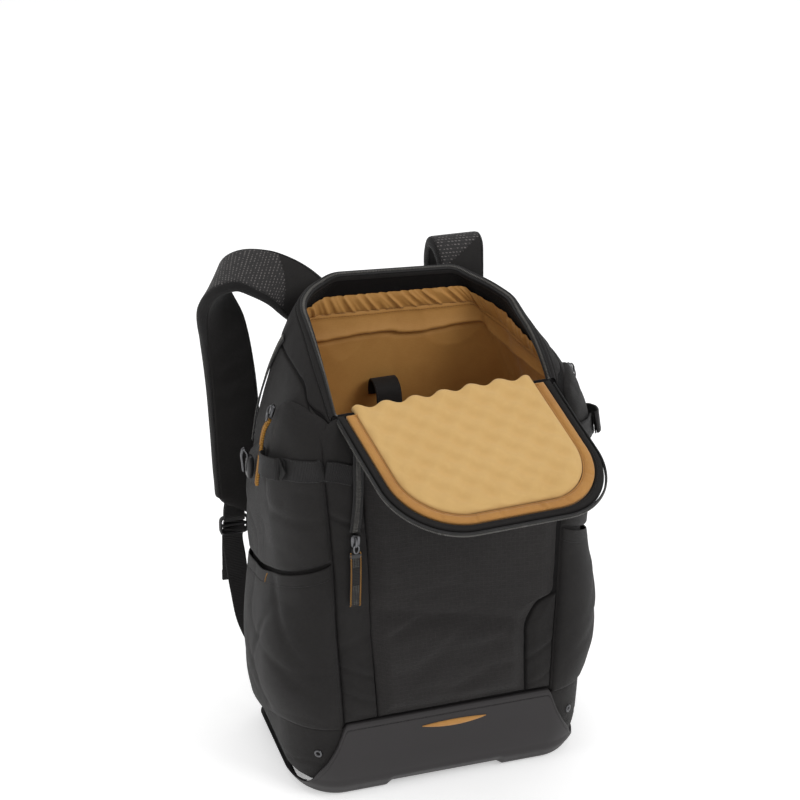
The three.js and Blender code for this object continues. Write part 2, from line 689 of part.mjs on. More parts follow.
// The lining is a cup inside the shell. Its gathered band hangs below the rim at the sides and the back.
const LINING_OUT = -WALL - GAP - 0.4;
const LINING_RISES = [0.06, 0.32, 0.6, 0.82, 0.925];
add(
  "lining",
  loft([
    ...LINING_RISES.map((rise) => bodyRing(rise, LINING_OUT)),
    ...LINING_RISES.slice().reverse().map((rise) => bodyRing(rise, LINING_OUT - LINING)),
  ]),
  TAN,
);
const RUFFLES = 22;
const RUFFLE_DEPTH = 2.6;
const BAND_ROWS = [
  { rise: 0.931, gather: 0.35 },
  { rise: 0.95, gather: 1 },
  { rise: 0.975, gather: 0.8 },
];
function gatheredBand() {
  const start = SEAM + 0.02;
  const count = RUFFLES * 3;
  const grid = (outOf) =>
    BAND_ROWS.map((row) => {
      const points = [];
      for (let k = 0; k <= count; k += 1) {
        const t = k / count;
        const round = mix(-start, -(2 - start), t);
        const share = round < -1 ? round + 2 : round;
        const wave = 0.5 + 0.5 * Math.cos(2 * Math.PI * RUFFLES * t + 0.8 * Math.sin(9 * t));
        points.push(wallPoint(share, row.rise, outOf(row.gather * wave)));
      }
      return points;
    });
  const outer = grid((wave) => LINING_OUT - 0.4 - RUFFLE_DEPTH * wave);
  const inner = grid((wave) => LINING_OUT - 0.4 - LINING - RUFFLE_DEPTH * wave);
  return sheetBody(outer, inner);
}
add("lining_band", gatheredBand(), TAN);

// The padded sleeve stands along the back of the lining, with a short hook-and-loop strap over its mouth.
const SLEEVE_TOP = BODY_HEIGHT * 0.7;
const SLEEVE_BOTTOM = BODY_HEIGHT * 0.085;
const SLEEVE_GAP = 26;
const SLEEVE_THICKNESS = 5;
const SLEEVE_ROWS = [
  { z: 0, half: 0.8 },
  { z: 0.1, half: 0.82 },
  { z: 0.92, half: 0.78 },
  { z: 1, half: 0.73 },
];
const liningBack = BACK_Y - WALL - LINING - 1.6;
function laptopSleeve() {
  const y = liningBack - SLEEVE_GAP;
  const soft = SLEEVE_THICKNESS * 0.3;
  const rings = SLEEVE_ROWS.map((row) => {
    const z = mix(SLEEVE_BOTTOM, SLEEVE_TOP, row.z);
    const half = row.half * HALF;
    return [
      [-half, -soft],
      [-half + soft, -SLEEVE_THICKNESS / 2],
      [half - soft, -SLEEVE_THICKNESS / 2],
      [half, -soft],
      [half, SLEEVE_THICKNESS / 2],
      [-half, SLEEVE_THICKNESS / 2],
    ].map(([x, d]) => new THREE.Vector3(x, y + d, z));
  });
  const depth = liningBack - y - 0.4;
  const tall = (SLEEVE_TOP - SLEEVE_BOTTOM) * 0.9;
  const gussetZ = SLEEVE_BOTTOM + tall / 2 + 2;
  const gussetX = HALF * 0.77;
  const gussets = [-1, 1].map((side) => box(3, depth, tall, [side * gussetX, y + depth / 2, gussetZ]));
  return loft(rings).add(gussets[0]).add(gussets[1]);
}
add("laptop_sleeve", laptopSleeve(), TAN);
const RETAINER_WIDTH = 26;
const RETAINER_X = -14;
function retainer() {
  const front = liningBack - SLEEVE_GAP - SLEEVE_THICKNESS / 2 - 1.6;
  const path = [
    [liningBack - 1.2, SLEEVE_TOP + 12],
    [liningBack - 1.4, SLEEVE_TOP + 24],
    [liningBack - 6, SLEEVE_TOP + 30],
    [mix(liningBack, front, 0.5), SLEEVE_TOP + 31],
    [front + 5, SLEEVE_TOP + 26],
    [front + 1, SLEEVE_TOP + 16],
    [front, SLEEVE_TOP - 4],
    [front, SLEEVE_TOP - 26],
  ].map(([y, z]) => new THREE.Vector3(RETAINER_X, y, z));
  const middle = new THREE.Vector3(RETAINER_X, mix(liningBack, front, 0.5), SLEEVE_TOP);
  return band(path, RETAINER_WIDTH, WEBBING_THICKNESS, (t, p) => p.clone().sub(middle));
}
add("laptop_retainer", retainer(), BLACK);

// A slider: a low rounded block with a narrower nose, placed at a spot with an up and a face direction.
function slider(at, upward, facing, size = 1) {
  const face = facing.clone().normalize();
  const across = upward.clone().cross(face).normalize();
  const up = face.clone().cross(across).normalize();
  const rows = [
    { v: -6, w: 2.6, t: 1.2 },
    { v: -4, w: 4.2, t: 2.4 },
    { v: 2, w: 4.6, t: 2.8 },
    { v: 6, w: 3, t: 1.8 },
  ];
  const rings = rows.map((row) =>
    [
      [1, -0.4],
      [1, 0.4],
      [0.6, 1],
      [-0.6, 1],
      [-1, 0.4],
      [-1, -0.4],
      [-0.6, -1],
      [0.6, -1],
    ].map(([a, b]) =>
      at
        .clone()
        .addScaledVector(across, a * row.w * size)
        .addScaledVector(face, b * row.t * size)
        .addScaledVector(up, row.v * size),
    ),
  );
  return loft(rings);
}
const UP = new THREE.Vector3(0, 0, 1);
function outward(share, rise) {
  return wallPoint(share, rise, 1).sub(wallPoint(share, rise, 0)).normalize();
}

// The zip of the left strip: its coil, slider and webbing pull.
const FRONT_ZIP = [
  { share: 0.222, rise: 0.925 },
  { share: 0.226, rise: 0.86 },
  { share: 0.234, rise: 0.78 },
  { share: 0.245, rise: 0.72 },
];
function frontZip() {
  const path = FRONT_ZIP.map((row) => wallPoint(-row.share, row.rise, 6.6));
  const raw = band(path, ZIP_WIDTH, ZIP_THICKNESS * 1.6, () => outward(-0.23, 0.8));
  return raw.subtract(frontStrip(-1, GAP)).subtract(frontPocket(GAP));
}
add("front_zip", frontZip(), PLASTIC, 0.5);
const sliderRise = FRONT_ZIP.at(-1).rise - 0.022;
const sliderAt = wallPoint(-0.2465, sliderRise, 7.7);
add("front_zip_slider", slider(sliderAt, UP, outward(-0.246, sliderRise), 1), METAL, 0.35);
const PULL_LENGTH = 62;
const frontPullPath = [0, 0.33, 0.66, 1].map((t) => {
  const rise = sliderRise - 0.0158 - (t * PULL_LENGTH) / BODY_HEIGHT / 0.82;
  return wallPoint(-0.2475 - 0.008 * t, rise, 7.9 - 0.4 * t);
});
add("front_zip_pull", band(frontPullPath, 11, 2.4, () => outward(-0.25, 0.55)), BLACK);

// Pieces on each upper side pocket: slider and pull, a flat band with a loop in it, and a hook.
const PULL_SHARE = 0.548;
const BAND_PATH = [
  { share: 0.565, z: 0.708, off: 0 },
  { share: 0.54, z: 0.712, off: 0 },
  { share: 0.515, z: 0.716, off: 5 },
  { share: 0.48, z: 0.725, off: 9 },
  { share: 0.445, z: 0.733, off: 7.5 },
  { share: 0.428, z: 0.736, off: 0 },
  { share: 0.4, z: 0.741, off: 0 },
  { share: 0.36, z: 0.747, off: 0 },
  { share: 0.325, z: 0.751, off: 0 },
  { share: 0.306, z: 0.754, off: -3 },
];
function pocketSurface(side, share, z, above) {
  const low = column(POCKET_ROWS, "share", share, "low");
  const top = column(POCKET_ROWS, "share", share, "top");
  const t = (z / BODY_HEIGHT - low) / (top - low);
  return wallAt(side * share, z, pocketOut(share, t) + above);
}
function sideOutward(side, share, z) {
  return pocketSurface(side, share, z, 1).sub(pocketSurface(side, share, z, 0)).normalize();
}
for (const side of [-1, 1]) {
  const name = side < 0 ? "left" : "right";
  const zipZ = column(POCKET_ROWS, "share", PULL_SHARE, "top") * BODY_HEIGHT - 9;
  const zipOut = sideOutward(side, PULL_SHARE, zipZ);
  add("side_slider_" + name, slider(pocketSurface(side, PULL_SHARE, zipZ, 3.4), UP, zipOut), METAL, 0.35);
  const pullPath = [0, 0.3, 0.65, 1].map((t) => {
    const z = zipZ - 8.5 - t * PULL_LENGTH * 1.05;
    return pocketSurface(side, PULL_SHARE + 0.004 * t, z, t < 0.1 ? 3 : 4.6);
  });
  add("side_pull_" + name, band(pullPath, 6.5, 3, () => zipOut), GOLD, 0.6);
  const grown = upperPocket(side, GAP);
  const bandPath = BAND_PATH.map((row) => {
    return pocketSurface(side, row.share, row.z * BODY_HEIGHT, 1.3 + row.off);
  });
  const bandFace = (t) => {
    const row = BAND_PATH[Math.round(t * (BAND_PATH.length - 1))];
    return sideOutward(side, row.share, row.z * BODY_HEIGHT);
  };
  const webbing = band(bandPath, WEBBING_WIDTH - 1, WEBBING_THICKNESS, bandFace);
  add("side_webbing_" + name, offBody(webbing.subtract(grown)), BLACK);
  const hookShare = 0.675;
  const hookZ = BODY_HEIGHT * 0.645;
  const hookOut = sideOutward(side, hookShare, hookZ);
  const hook = slider(pocketSurface(side, hookShare, hookZ, 5.2), UP, hookOut, 1.75);
  add("side_hook_" + name, hook.subtract(grown), PLASTIC, 0.45);
}

// The zip of the back compartment, up the left back edge.
const BACK_ZIP = [
  { share: 0.775, z: 0.668 },
  { share: 0.772, z: 0.74 },
  { share: 0.765, z: 0.8 },
  { share: 0.755, z: 0.86 },
  { share: 0.745, z: 0.905 },
];
function backZip() {
  const path = BACK_ZIP.map((row) => wallAt(-row.share, row.z * BODY_HEIGHT, 1.2));
  const faceAt = (t) => {
    const row = BACK_ZIP[Math.round(t * (BACK_ZIP.length - 1))];
    return outward(-row.share, riseAt(-row.share, row.z * BODY_HEIGHT));
  };
  return offBody(band(path, ZIP_WIDTH, ZIP_THICKNESS, faceAt)).subtract(upperPocket(-1, GAP));
}
add("back_zip", backZip(), PLASTIC, 0.5);

// The padded back: two long cushions with an air channel between them.
const BACK_PANEL_RISES = [0.1, 0.13, 0.25, 0.45, 0.65, 0.82, 0.88, 0.905];
const BACK_PANEL_DEPTH = 11;
function backPanel() {
  const shares = [0.85, 0.865, 0.885, 0.92, 0.955, 0.975, 0.99];
  const round = [...shares.map((s) => -s), 1, ...shares.slice().reverse()];
  const grid = (outOf) =>
    BACK_PANEL_RISES.map((rise, r) =>
      round.map((share) => wallPoint(share, rise, outOf(Math.abs(share), rise, r))),
    );
  const outer = grid((a, rise, r) => {
    const edge = Math.min(smooth((a - 0.85) / 0.03), r === 0 || r === BACK_PANEL_RISES.length - 1 ? 0 : 1);
    const channel = smooth((a - 0.955) / 0.03);
    return 3 + (BACK_PANEL_DEPTH - 3) * edge * (1 - 0.7 * channel);
  });
  return offBody(sheetBody(outer, grid(() => 0)));
}
add("back_panel", backPanel(), BLACK);

// The shoulder straps, x and y from the body's middle, z from the floor, as BODY sizes. x and fx are as on the left side.
const STRAP_ROWS = [
  { x: 0.558, y: 0.508, z: 0.94, wide: 0.86, fx: -0.15, fy: -0.85, fz: 0.5 },
  { x: 0.675, y: 0.555, z: 0.971, wide: 0.92, fx: 0.05, fy: -0.66, fz: 0.75 },
  { x: 0.805, y: 0.593, z: 0.992, wide: 0.96, fx: 0.15, fy: -0.5, fz: 0.85 },
  { x: 0.929, y: 0.643, z: 0.998, wide: 0.98, fx: 0.05, fy: -0.25, fz: 0.95 },
  { x: 1.039, y: 0.687, z: 0.979, wide: 0.96, fx: -0.5, fy: 0.1, fz: 0.8 },
  { x: 1.084, y: 0.72, z: 0.934, wide: 0.92, fx: -0.75, fy: 0.6, fz: 0.15 },
  { x: 1.032, y: 0.731, z: 0.857, wide: 0.88, fx: -0.42, fy: 0.9, fz: 0 },
  { x: 0.987, y: 0.753, z: 0.754, wide: 0.86, fx: -0.2, fy: 1, fz: 0 },
  { x: 0.961, y: 0.769, z: 0.64, wide: 0.86, fx: -0.12, fy: 1, fz: 0 },
  { x: 0.942, y: 0.78, z: 0.517, wide: 0.86, fx: -0.1, fy: 1, fz: 0 },
  { x: 0.94, y: 0.78, z: 0.462, wide: 0.8, fx: -0.1, fy: 1, fz: 0 },
  { x: 0.985, y: 0.78, z: 0.44, wide: 0.42, fx: 0, fy: 1, fz: 0 },
  { x: 0.985, y: 0.78, z: 0.4225, wide: 0.36, fx: 0, fy: 1, fz: 0 },
];
// The right strap arches straight back and hangs behind the body.
const RIGHT_STRAP_ROWS = [
  { x: 0.48, y: 0.506, z: 0.935, wide: 0.7, fx: 0, fy: -0.85, fz: 0.5 },
  { x: 0.485, y: 0.55, z: 0.972, wide: 0.76, fx: 0, fy: -0.75, fz: 0.66 },
  { x: 0.49, y: 0.61, z: 0.997, wide: 0.84, fx: 0, fy: -0.4, fz: 0.9 },
  { x: 0.495, y: 0.68, z: 1.0, wide: 0.88, fx: 0, fy: 0.15, fz: 1 },
  { x: 0.505, y: 0.745, z: 0.97, wide: 0.9, fx: 0, fy: 0.65, fz: 0.75 },
  { x: 0.52, y: 0.785, z: 0.915, wide: 0.9, fx: 0, fy: 0.95, fz: 0.3 },
  { x: 0.535, y: 0.8, z: 0.845, wide: 0.88, fx: 0, fy: 1, fz: 0.05 },
  { x: 0.56, y: 0.8, z: 0.75, wide: 0.86, fx: 0, fy: 1, fz: 0 },
  { x: 0.59, y: 0.8, z: 0.64, wide: 0.86, fx: 0, fy: 1, fz: 0 },
  { x: 0.63, y: 0.79, z: 0.52, wide: 0.86, fx: 0, fy: 1, fz: 0 },
  { x: 0.655, y: 0.785, z: 0.462, wide: 0.8, fx: 0, fy: 1, fz: 0 },
  { x: 0.68, y: 0.78, z: 0.44, wide: 0.42, fx: 0, fy: 1, fz: 0 },
  { x: 0.68, y: 0.78, z: 0.4225, wide: 0.36, fx: 0, fy: 1, fz: 0 },
];
function strapPoint(side, row) {
  return new THREE.Vector3(side * row.x * HALF, row.y * BODY_DEPTH, row.z * BODY_HEIGHT);
}
function strapFace(side, row) {
  return new THREE.Vector3(-side * row.fx, row.fy, row.fz).normalize();
}
// Cross-section rings placed by face and across directions alone, so that the band can turn over an edge.
function strapBody(side, rows, width, thickness) {
  const rings = rows.map((row, i) => {
    const p = strapPoint(side, row);
    const before = strapPoint(side, rows[Math.max(0, i - 1)]);
    const after = strapPoint(side, rows[Math.min(rows.length - 1, i + 1)]);
    const ahead = after.sub(before).normalize();
    const face = strapFace(side, row);
    const across = ahead.clone().cross(face).normalize();
    const up = across.clone().cross(ahead).normalize();
    const w = (width / 2) * row.wide;
    const t = thickness / 2;
    return [
      [1, -0.35],
      [1, 0.35],
      [0.9, 0.95],
      [0.3, 1],
      [-0.3, 1],
      [-0.9, 0.95],
      [-1, 0.35],
      [-1, -0.35],
      [-0.9, -0.95],
      [0, -1],
      [0.9, -0.95],
    ].map(([a, b]) => p.clone().addScaledVector(across, a * w).addScaledVector(up, b * t));
  });
  return loft(rings);
}
// Ladder lock, webbing and anchor tab below each strap, as shares like the straps'.
const LOCK = { x: 0.985, y: 0.78, z: 0.4 };
const RIGHT_LOCK = { x: 0.68, y: 0.78, z: 0.4 };
const TAIL_ROWS = [
  { x: 0.99, y: 0.78, z: 0.378 },
  { x: 0.985, y: 0.768, z: 0.32 },
  { x: 0.97, y: 0.72, z: 0.25 },
  { x: 0.95, y: 0.64, z: 0.19 },
  { x: 0.9, y: 0.565, z: 0.15 },
  { x: 0.86, y: 0.522, z: 0.13 },
];
const RIGHT_TAIL_ROWS = [
  { x: 0.68, y: 0.78, z: 0.3765 },
  { x: 0.687, y: 0.77, z: 0.33 },
  { x: 0.73, y: 0.72, z: 0.25 },
  { x: 0.77, y: 0.64, z: 0.19 },
  { x: 0.81, y: 0.565, z: 0.15 },
  { x: 0.84, y: 0.522, z: 0.13 },
];
for (const side of [-1, 1]) {
  const name = side < 0 ? "left" : "right";
  const rows = side < 0 ? STRAP_ROWS : RIGHT_STRAP_ROWS;
  add("shoulder_strap_" + name, offBody(strapBody(side, rows, STRAP_WIDTH, STRAP_THICKNESS)), BLACK);
  const at = strapPoint(side, side < 0 ? LOCK : RIGHT_LOCK);
  const frame = box(30, 5, 20, [at.x, at.y, at.z])
    .subtract(box(22, 9, 4, [at.x, at.y, at.z + 4.5]))
    .subtract(box(22, 9, 4, [at.x, at.y, at.z - 4.5]));
  add("ladder_lock_" + name, frame, PLASTIC, 0.45);
  const tail = (side < 0 ? TAIL_ROWS : RIGHT_TAIL_ROWS).map((row) => strapPoint(side, row));
  const webbing = band(tail, WEBBING_WIDTH, WEBBING_THICKNESS, () => new THREE.Vector3(-side * 0.1, 1, 0.2));
  add("strap_webbing_" + name, offBody(webbing), BLACK);
}

// The haul handle between the strap roots: a loop that leans back behind the rim.
const HANDLE_ROWS = [
  { x: 0.27, y: 0.5, z: 0.912 },
  { x: 0.265, y: 0.56, z: 0.926 },
  { x: 0.22, y: 0.64, z: 0.932 },
  { x: 0.08, y: 0.69, z: 0.93 },
];
function haulHandle() {
  const spot = (side) => (row) =>
    new THREE.Vector3(side * row.x * HALF, row.y * BODY_DEPTH, row.z * BODY_HEIGHT);
  const path = [...HANDLE_ROWS.map(spot(-1)), ...HANDLE_ROWS.map(spot(1)).reverse()];
  return offBody(band(path, 12, 5, () => new THREE.Vector3(0, -0.45, 1)));
}
add("haul_handle", haulHandle(), BLACK);

// The accent on the base: a thin lens on its front face.
const ACCENT_LENGTH = 66;
const ACCENT_HEIGHT = 6.5;
const ACCENT_X = 5;
function baseAccent() {
  const count = 8;
  const z = BASE_HEIGHT * 0.9;
  const outline = [];
  for (let k = 0; k <= count; k += 1) {
    const t = k / count;
    outline.push([mix(-0.5, 0.5, t), -0.72 * Math.sin(Math.PI * t) - 0.04]);
  }
  for (let k = count - 1; k > 0; k -= 1) {
    const t = k / count;
    outline.push([mix(-0.5, 0.5, t), 0.28 * Math.sin(Math.PI * t)]);
  }
  const rings = [0, -1.4].map((d) =>
    outline.map(([a, b]) => {
      const at = new THREE.Vector3(ACCENT_X + a * ACCENT_LENGTH, 0, z + b * ACCENT_HEIGHT);
      at.y = FRONT_Y - BASE_THICKNESS * 1.1 - GAP + d;
      return at;
    }),
  );
  return loft(rings);
}
add("base_accent", baseAccent(), TAN, 0.6);

// Drain eyelets low on the front corners.
function eyelet(side) {
  const share = side * 0.362;
  const rise = riseAt(share, BASE_HEIGHT * 0.66);
  const at = wallPoint(share, rise, 0.95);
  const face = outward(share, rise);
  const across = face.clone().cross(UP).normalize();
  const up = face.clone().cross(across).normalize();
  const rings = [];
  for (const [radius, lift] of [[4, -0.5], [3.6, 0.6], [2, 0]]) {
    const ring = [];
    for (let k = 0; k < 10; k += 1) {
      const a = (2 * Math.PI * k) / 10;
      ring.push(
        at
          .clone()
          .addScaledVector(across, radius * Math.cos(a))
          .addScaledVector(up, radius * Math.sin(a))
          .addScaledVector(face, lift),
      );
    }
    rings.push(ring);
  }
  return offBody(closedLoops(rings));
}
add("eyelet_left", eyelet(-1), METAL, 0.4);
add("eyelet_right", eyelet(1), METAL, 0.4);

export default group;
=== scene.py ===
import math

import bpy
import numpy as np
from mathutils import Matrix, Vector


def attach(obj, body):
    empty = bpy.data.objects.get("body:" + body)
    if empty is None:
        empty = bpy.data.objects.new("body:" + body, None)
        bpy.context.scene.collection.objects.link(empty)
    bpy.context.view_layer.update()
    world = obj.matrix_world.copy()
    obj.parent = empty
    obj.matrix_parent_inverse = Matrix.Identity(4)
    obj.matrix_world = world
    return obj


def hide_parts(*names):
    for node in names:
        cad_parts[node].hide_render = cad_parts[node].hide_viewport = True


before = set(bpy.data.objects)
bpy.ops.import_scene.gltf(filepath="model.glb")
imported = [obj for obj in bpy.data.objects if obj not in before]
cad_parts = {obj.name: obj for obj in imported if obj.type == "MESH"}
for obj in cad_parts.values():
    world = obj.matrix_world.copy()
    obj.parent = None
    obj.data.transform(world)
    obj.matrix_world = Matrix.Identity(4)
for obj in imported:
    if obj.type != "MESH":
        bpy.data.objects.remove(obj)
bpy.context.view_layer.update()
scene = bpy.context.scene

# Camera.
camera = bpy.data.objects.new("camera", bpy.data.cameras.new("camera"))
camera.data.lens = 112.5
camera.data.sensor_width = 36.0
camera.location = (-0.6813, -2.0352, 1.4237)
aim = Vector((-0.020, 0.0, 0.380)) - camera.location
camera.rotation_euler = aim.to_track_quat("-Z", "Y").to_euler()
scene.collection.objects.link(camera)
scene.camera = camera

# Driving sizes in millimetres, as in the solid model.
BODY_WIDTH, BODY_DEPTH, BODY_HEIGHT, BODY_BOTTOM, BASE_HEIGHT = 308.0, 182.0, 484.0, 11.0, 80.0
WALL, LINING_OUT = 8.0, -8.8
HALF = BODY_WIDTH / 2
FRONT_Y = -BODY_DEPTH * 0.494
BACK_Y = BODY_DEPTH * 0.506
SEAM, CORNER, SIDE, BACK, MID_Y = 0.3, 0.5, 0.74, 0.84, 0.33
BODY_ROWS = np.array([
    [0.0, 0.6, 0.9, 0.9, 0.9, 0.91, 0.14],
    [0.025, 0.66, 0.965, 0.955, 0.97, 0.97, 0.15],
    [0.08, 0.675, 0.99, 0.974, 0.99, 1.0, 0.16],
    [0.17, 0.682, 1.0, 0.974, 1.0, 1.0, 0.17],
    [0.32, 0.7, 0.985, 0.974, 0.98, 1.0, 0.17],
    [0.46, 0.72, 0.975, 0.974, 0.965, 1.0, 0.17],
    [0.6, 0.73, 0.975, 0.97, 0.96, 1.0, 0.18],
    [0.72, 0.75, 0.98, 0.935, 0.955, 1.0, 0.2],
    [0.82, 0.766, 0.955, 0.86, 0.94, 1.0, 0.22],
    [0.9, 0.78, 0.905, 0.79, 0.92, 1.0, 0.26],
    [0.955, 0.76, 0.82, 0.745, 0.87, 0.97, 0.3],
    [1.0, 0.7, 0.706, 0.7, 0.79, 0.9, 0.345],
])
RIM_ROWS = np.array([
    [-0.78, 0.853, 5], [-0.56, 0.884, 2], [-0.39, 0.903, 0], [-0.17, 0.921, -2], [0.11, 0.938, -7],
    [0.38, 0.953, -10], [0.63, 0.963, -12], [0.76, 0.971, -12], [0.84, 0.978, -11], [0.9, 0.99, -9],
])


def pchip(x, xs, ys):
    """Smooth monotone curve through the rows of a table."""
    xs, ys = np.asarray(xs, float), np.asarray(ys, float)
    x = np.clip(x, xs[0], xs[-1])
    h = np.diff(xs)
    d = np.diff(ys) / h
    m = np.zeros_like(ys)
    for i in range(1, len(xs) - 1):
        if d[i - 1] * d[i] > 0:
            w1, w2 = 2 * h[i] + h[i - 1], h[i] + 2 * h[i - 1]
            m[i] = (w1 + w2) / (w1 / d[i - 1] + w2 / d[i])
    m[0], m[-1] = d[0], d[-1]
    k = np.clip(np.searchsorted(xs, x, side="right") - 1, 0, len(xs) - 2)
    t = (x - xs[k]) / h[k]
    t2, t3 = t * t, t * t * t
    return (
        (2 * t3 - 3 * t2 + 1) * ys[k]
        + (t3 - 2 * t2 + t) * h[k] * m[k]
        + (-2 * t3 + 3 * t2) * ys[k + 1]
        + (t3 - t2) * h[k] * m[k + 1]
    )


def smooth(t):
    t = np.clip(t, 0, 1)
    return t * t * (3 - 2 * t)


def rounded(d, radius):
    """Climbs from 0 at an edge to 1 at radius millimetres from it, as a quarter of a circle."""
    return np.sqrt(np.maximum(0, 1 - (1 - np.clip(d / radius, 0, 1)) ** 2))


def bell(x, wide=1.0):
    return np.exp(-((x / wide) ** 2))


def plan_at(share, rise):
    """Outline of the body at one rise. Share is 0 at the front centre, 1 at the back, + to the right."""
    share, rise = np.broadcast_arrays(np.asarray(share, float), np.asarray(rise, float))
    a, s = np.abs(share), np.where(share < 0, -1.0, 1.0)
    front, mid, back, fy, by, rd = (pchip(rise, BODY_ROWS[:, 0], BODY_ROWS[:, i]) for i in range(1, 7))
    front, mid, back, rd = front * HALF, mid * HALF, back * HALF, rd * HALF
    fy, by, my = fy * FRONT_Y, by * BACK_Y, MID_Y * FRONT_Y
    q1 = np.clip((a - SEAM) / (CORNER - SEAM), 0, 1) * np.pi / 2
    q2 = np.clip((a - CORNER) / (SIDE - CORNER), 0, 1)
    q3 = np.clip((a - SIDE) / (BACK - SIDE), 0, 1) * np.pi / 2
    q4 = np.clip((a - BACK) / (1 - BACK), 0, 1)
    zones = [a <= SEAM, a <= CORNER, a <= SIDE, a <= BACK]
    x = np.select(
        zones,
        [
            front * a / SEAM, front + (mid - front) * np.sin(q1), mid + (back - mid) * q2,
            back - rd * (1 - np.cos(q3))
        ],
        (back - rd) * (1 - q4),
    )
    y = np.select(
        zones, [fy, my - (my - fy) * np.cos(q1), my + (by - rd - my) * q2, by - rd * (1 - np.sin(q3))], by
    )
    return s * x, y


def rim_height(x, y):
    at = np.where(y < 0, -np.abs(y / FRONT_Y), y / BACK_Y)
    z = pchip(at, RIM_ROWS[:, 0], RIM_ROWS[:, 1]) * BODY_HEIGHT
    return z + pchip(at, RIM_ROWS[:, 0], RIM_ROWS[:, 2]) * x / HALF


def skin(share, rise):
    x, y = plan_at(share, rise)
    rim_x, rim_y = plan_at(share, np.ones_like(x))
    z = BODY_BOTTOM + (rim_height(rim_x, rim_y) - BODY_BOTTOM) * rise
    return np.stack([x, y, z], -1)


def wrap(share):
    return (np.asarray(share, float) + 1) % 2 - 1


def unit(v):
    return v / np.maximum(np.linalg.norm(v, axis=-1, keepdims=True), 1e-9)


def wall(share, rise, out=0.0):
    """Points on the body's skin moved out along its normal, and the normals."""
    share, rise = np.broadcast_arrays(wrap(share), np.asarray(rise, float))
    p = skin(share, rise)
    e = 0.004
    along = skin(wrap(share + e), rise) - skin(wrap(share - e), rise)
    up = skin(share, np.clip(rise + 2 * e, 0, 1)) - skin(share, np.clip(rise - 2 * e, 0, 1))
    n = unit(np.cross(along, up))
    return p + n * np.broadcast_to(np.asarray(out, float), share.shape)[..., None], n


def wall_spot(share, rise, out):
    """One point on the skin, and its normal."""
    at, n = wall(np.array([share]), np.array([rise]), out)
    return at[0], n[0]


def rise_at(share, z):
    rx, ry = plan_at(share, np.ones_like(np.asarray(share, float)))
    return np.clip((z - BODY_BOTTOM) / (rim_height(rx, ry) - BODY_BOTTOM), 0, 1)


def noise(p, size, seed=0):
    """Smooth noise from -1 to 1 with lumps of about size millimetres (one number, or one for each axis)."""
    q = p / np.asarray(size, float)
    i = np.floor(q).astype(np.int64)
    f = q - i
    f = f * f * (3 - 2 * f)
    total = 0
    for k in range(8):
        o = np.array([k & 1, k >> 1 & 1, k >> 2 & 1])
        c = i + o
        h = (c[..., 0] * 73856093) ^ (c[..., 1] * 19349663) ^ (c[..., 2] * 83492791) ^ (seed * 2654435761)
        h = (h ^ (h >> 13)) * 1274126177
        value = ((h ^ (h >> 16)) & 0xFFFF) / 32767.5 - 1
        w = np.where(o, f, 1 - f)
        total = total + value * w[..., 0] * w[..., 1] * w[..., 2]
    return total


def creases(p, size, seed=0):
    """Thin soft ridges, as in worn cloth, from 0 to 1."""
    bend = np.stack([noise(p, size * 1.7, seed + k) for k in (1, 2, 3)], -1)
    return (1 - np.abs(noise(p + bend * size * 0.35, size, seed))) ** 5


def curve(points, count):
    """A smooth curve through points, at count spots evenly along it or at given shares of its length."""
    p = np.asarray(points, float)
    chord = np.concatenate([[0], np.cumsum(np.maximum(np.linalg.norm(np.diff(p, axis=0), axis=1), 1e-6))])
    m = np.gradient(p, chord, axis=0)
    fine = np.linspace(0, chord[-1], 40 * len(p))
    k = np.clip(np.searchsorted(chord, fine, side="right") - 1, 0, len(p) - 2)
    h = (chord[k + 1] - chord[k])[:, None]
    t = ((fine - chord[k]) / h[:, 0])[:, None]
    t2, t3 = t * t, t * t * t
    q = (2 * t3 - 3 * t2 + 1) * p[k] + (t3 - 2 * t2 + t) * h * m[k]
    q = q + (-2 * t3 + 3 * t2) * p[k + 1] + (t3 - t2) * h * m[k + 1]
    length = np.concatenate([[0], np.cumsum(np.linalg.norm(np.diff(q, axis=0), axis=1))])
    at = np.linspace(0, 1, count) if np.isscalar(count) else np.asarray(count)
    return np.stack([np.interp(at * length[-1], length, q[:, i]) for i in range(q.shape[1])], -1)


def path_length(p):
    return float(np.linalg.norm(np.diff(p, axis=0), axis=1).sum())


def lay(length, step=2.6, edge=(0, 0.35, 0.8, 1.5, 2.5, 4.0)):
    """Spots from 0 to 1 along a length in millimetres, closer together at both ends."""
    e = [v for v in edge if v < length * 0.35]
    inner = np.linspace(e[-1], length - e[-1], max(3, int((length - 2 * e[-1]) / step) + 1))
    return np.concatenate([e[:-1], inner, (length - np.array(e[:-1]))[::-1]]) / length


def sheet_area(grid):
    """Area of a grid of points in square metres."""
    a = np.diff(grid, axis=0)[:, :-1]
    b = np.diff(grid, axis=1)[:-1]
    return float(np.linalg.norm(np.cross(a, b), axis=-1).sum()) * 1e-6


# Mesh building. Every piece is made in millimetres and stored in metres.
# Its UVs are millimetres times UV_SCALE.
UV_SCALE = 0.01


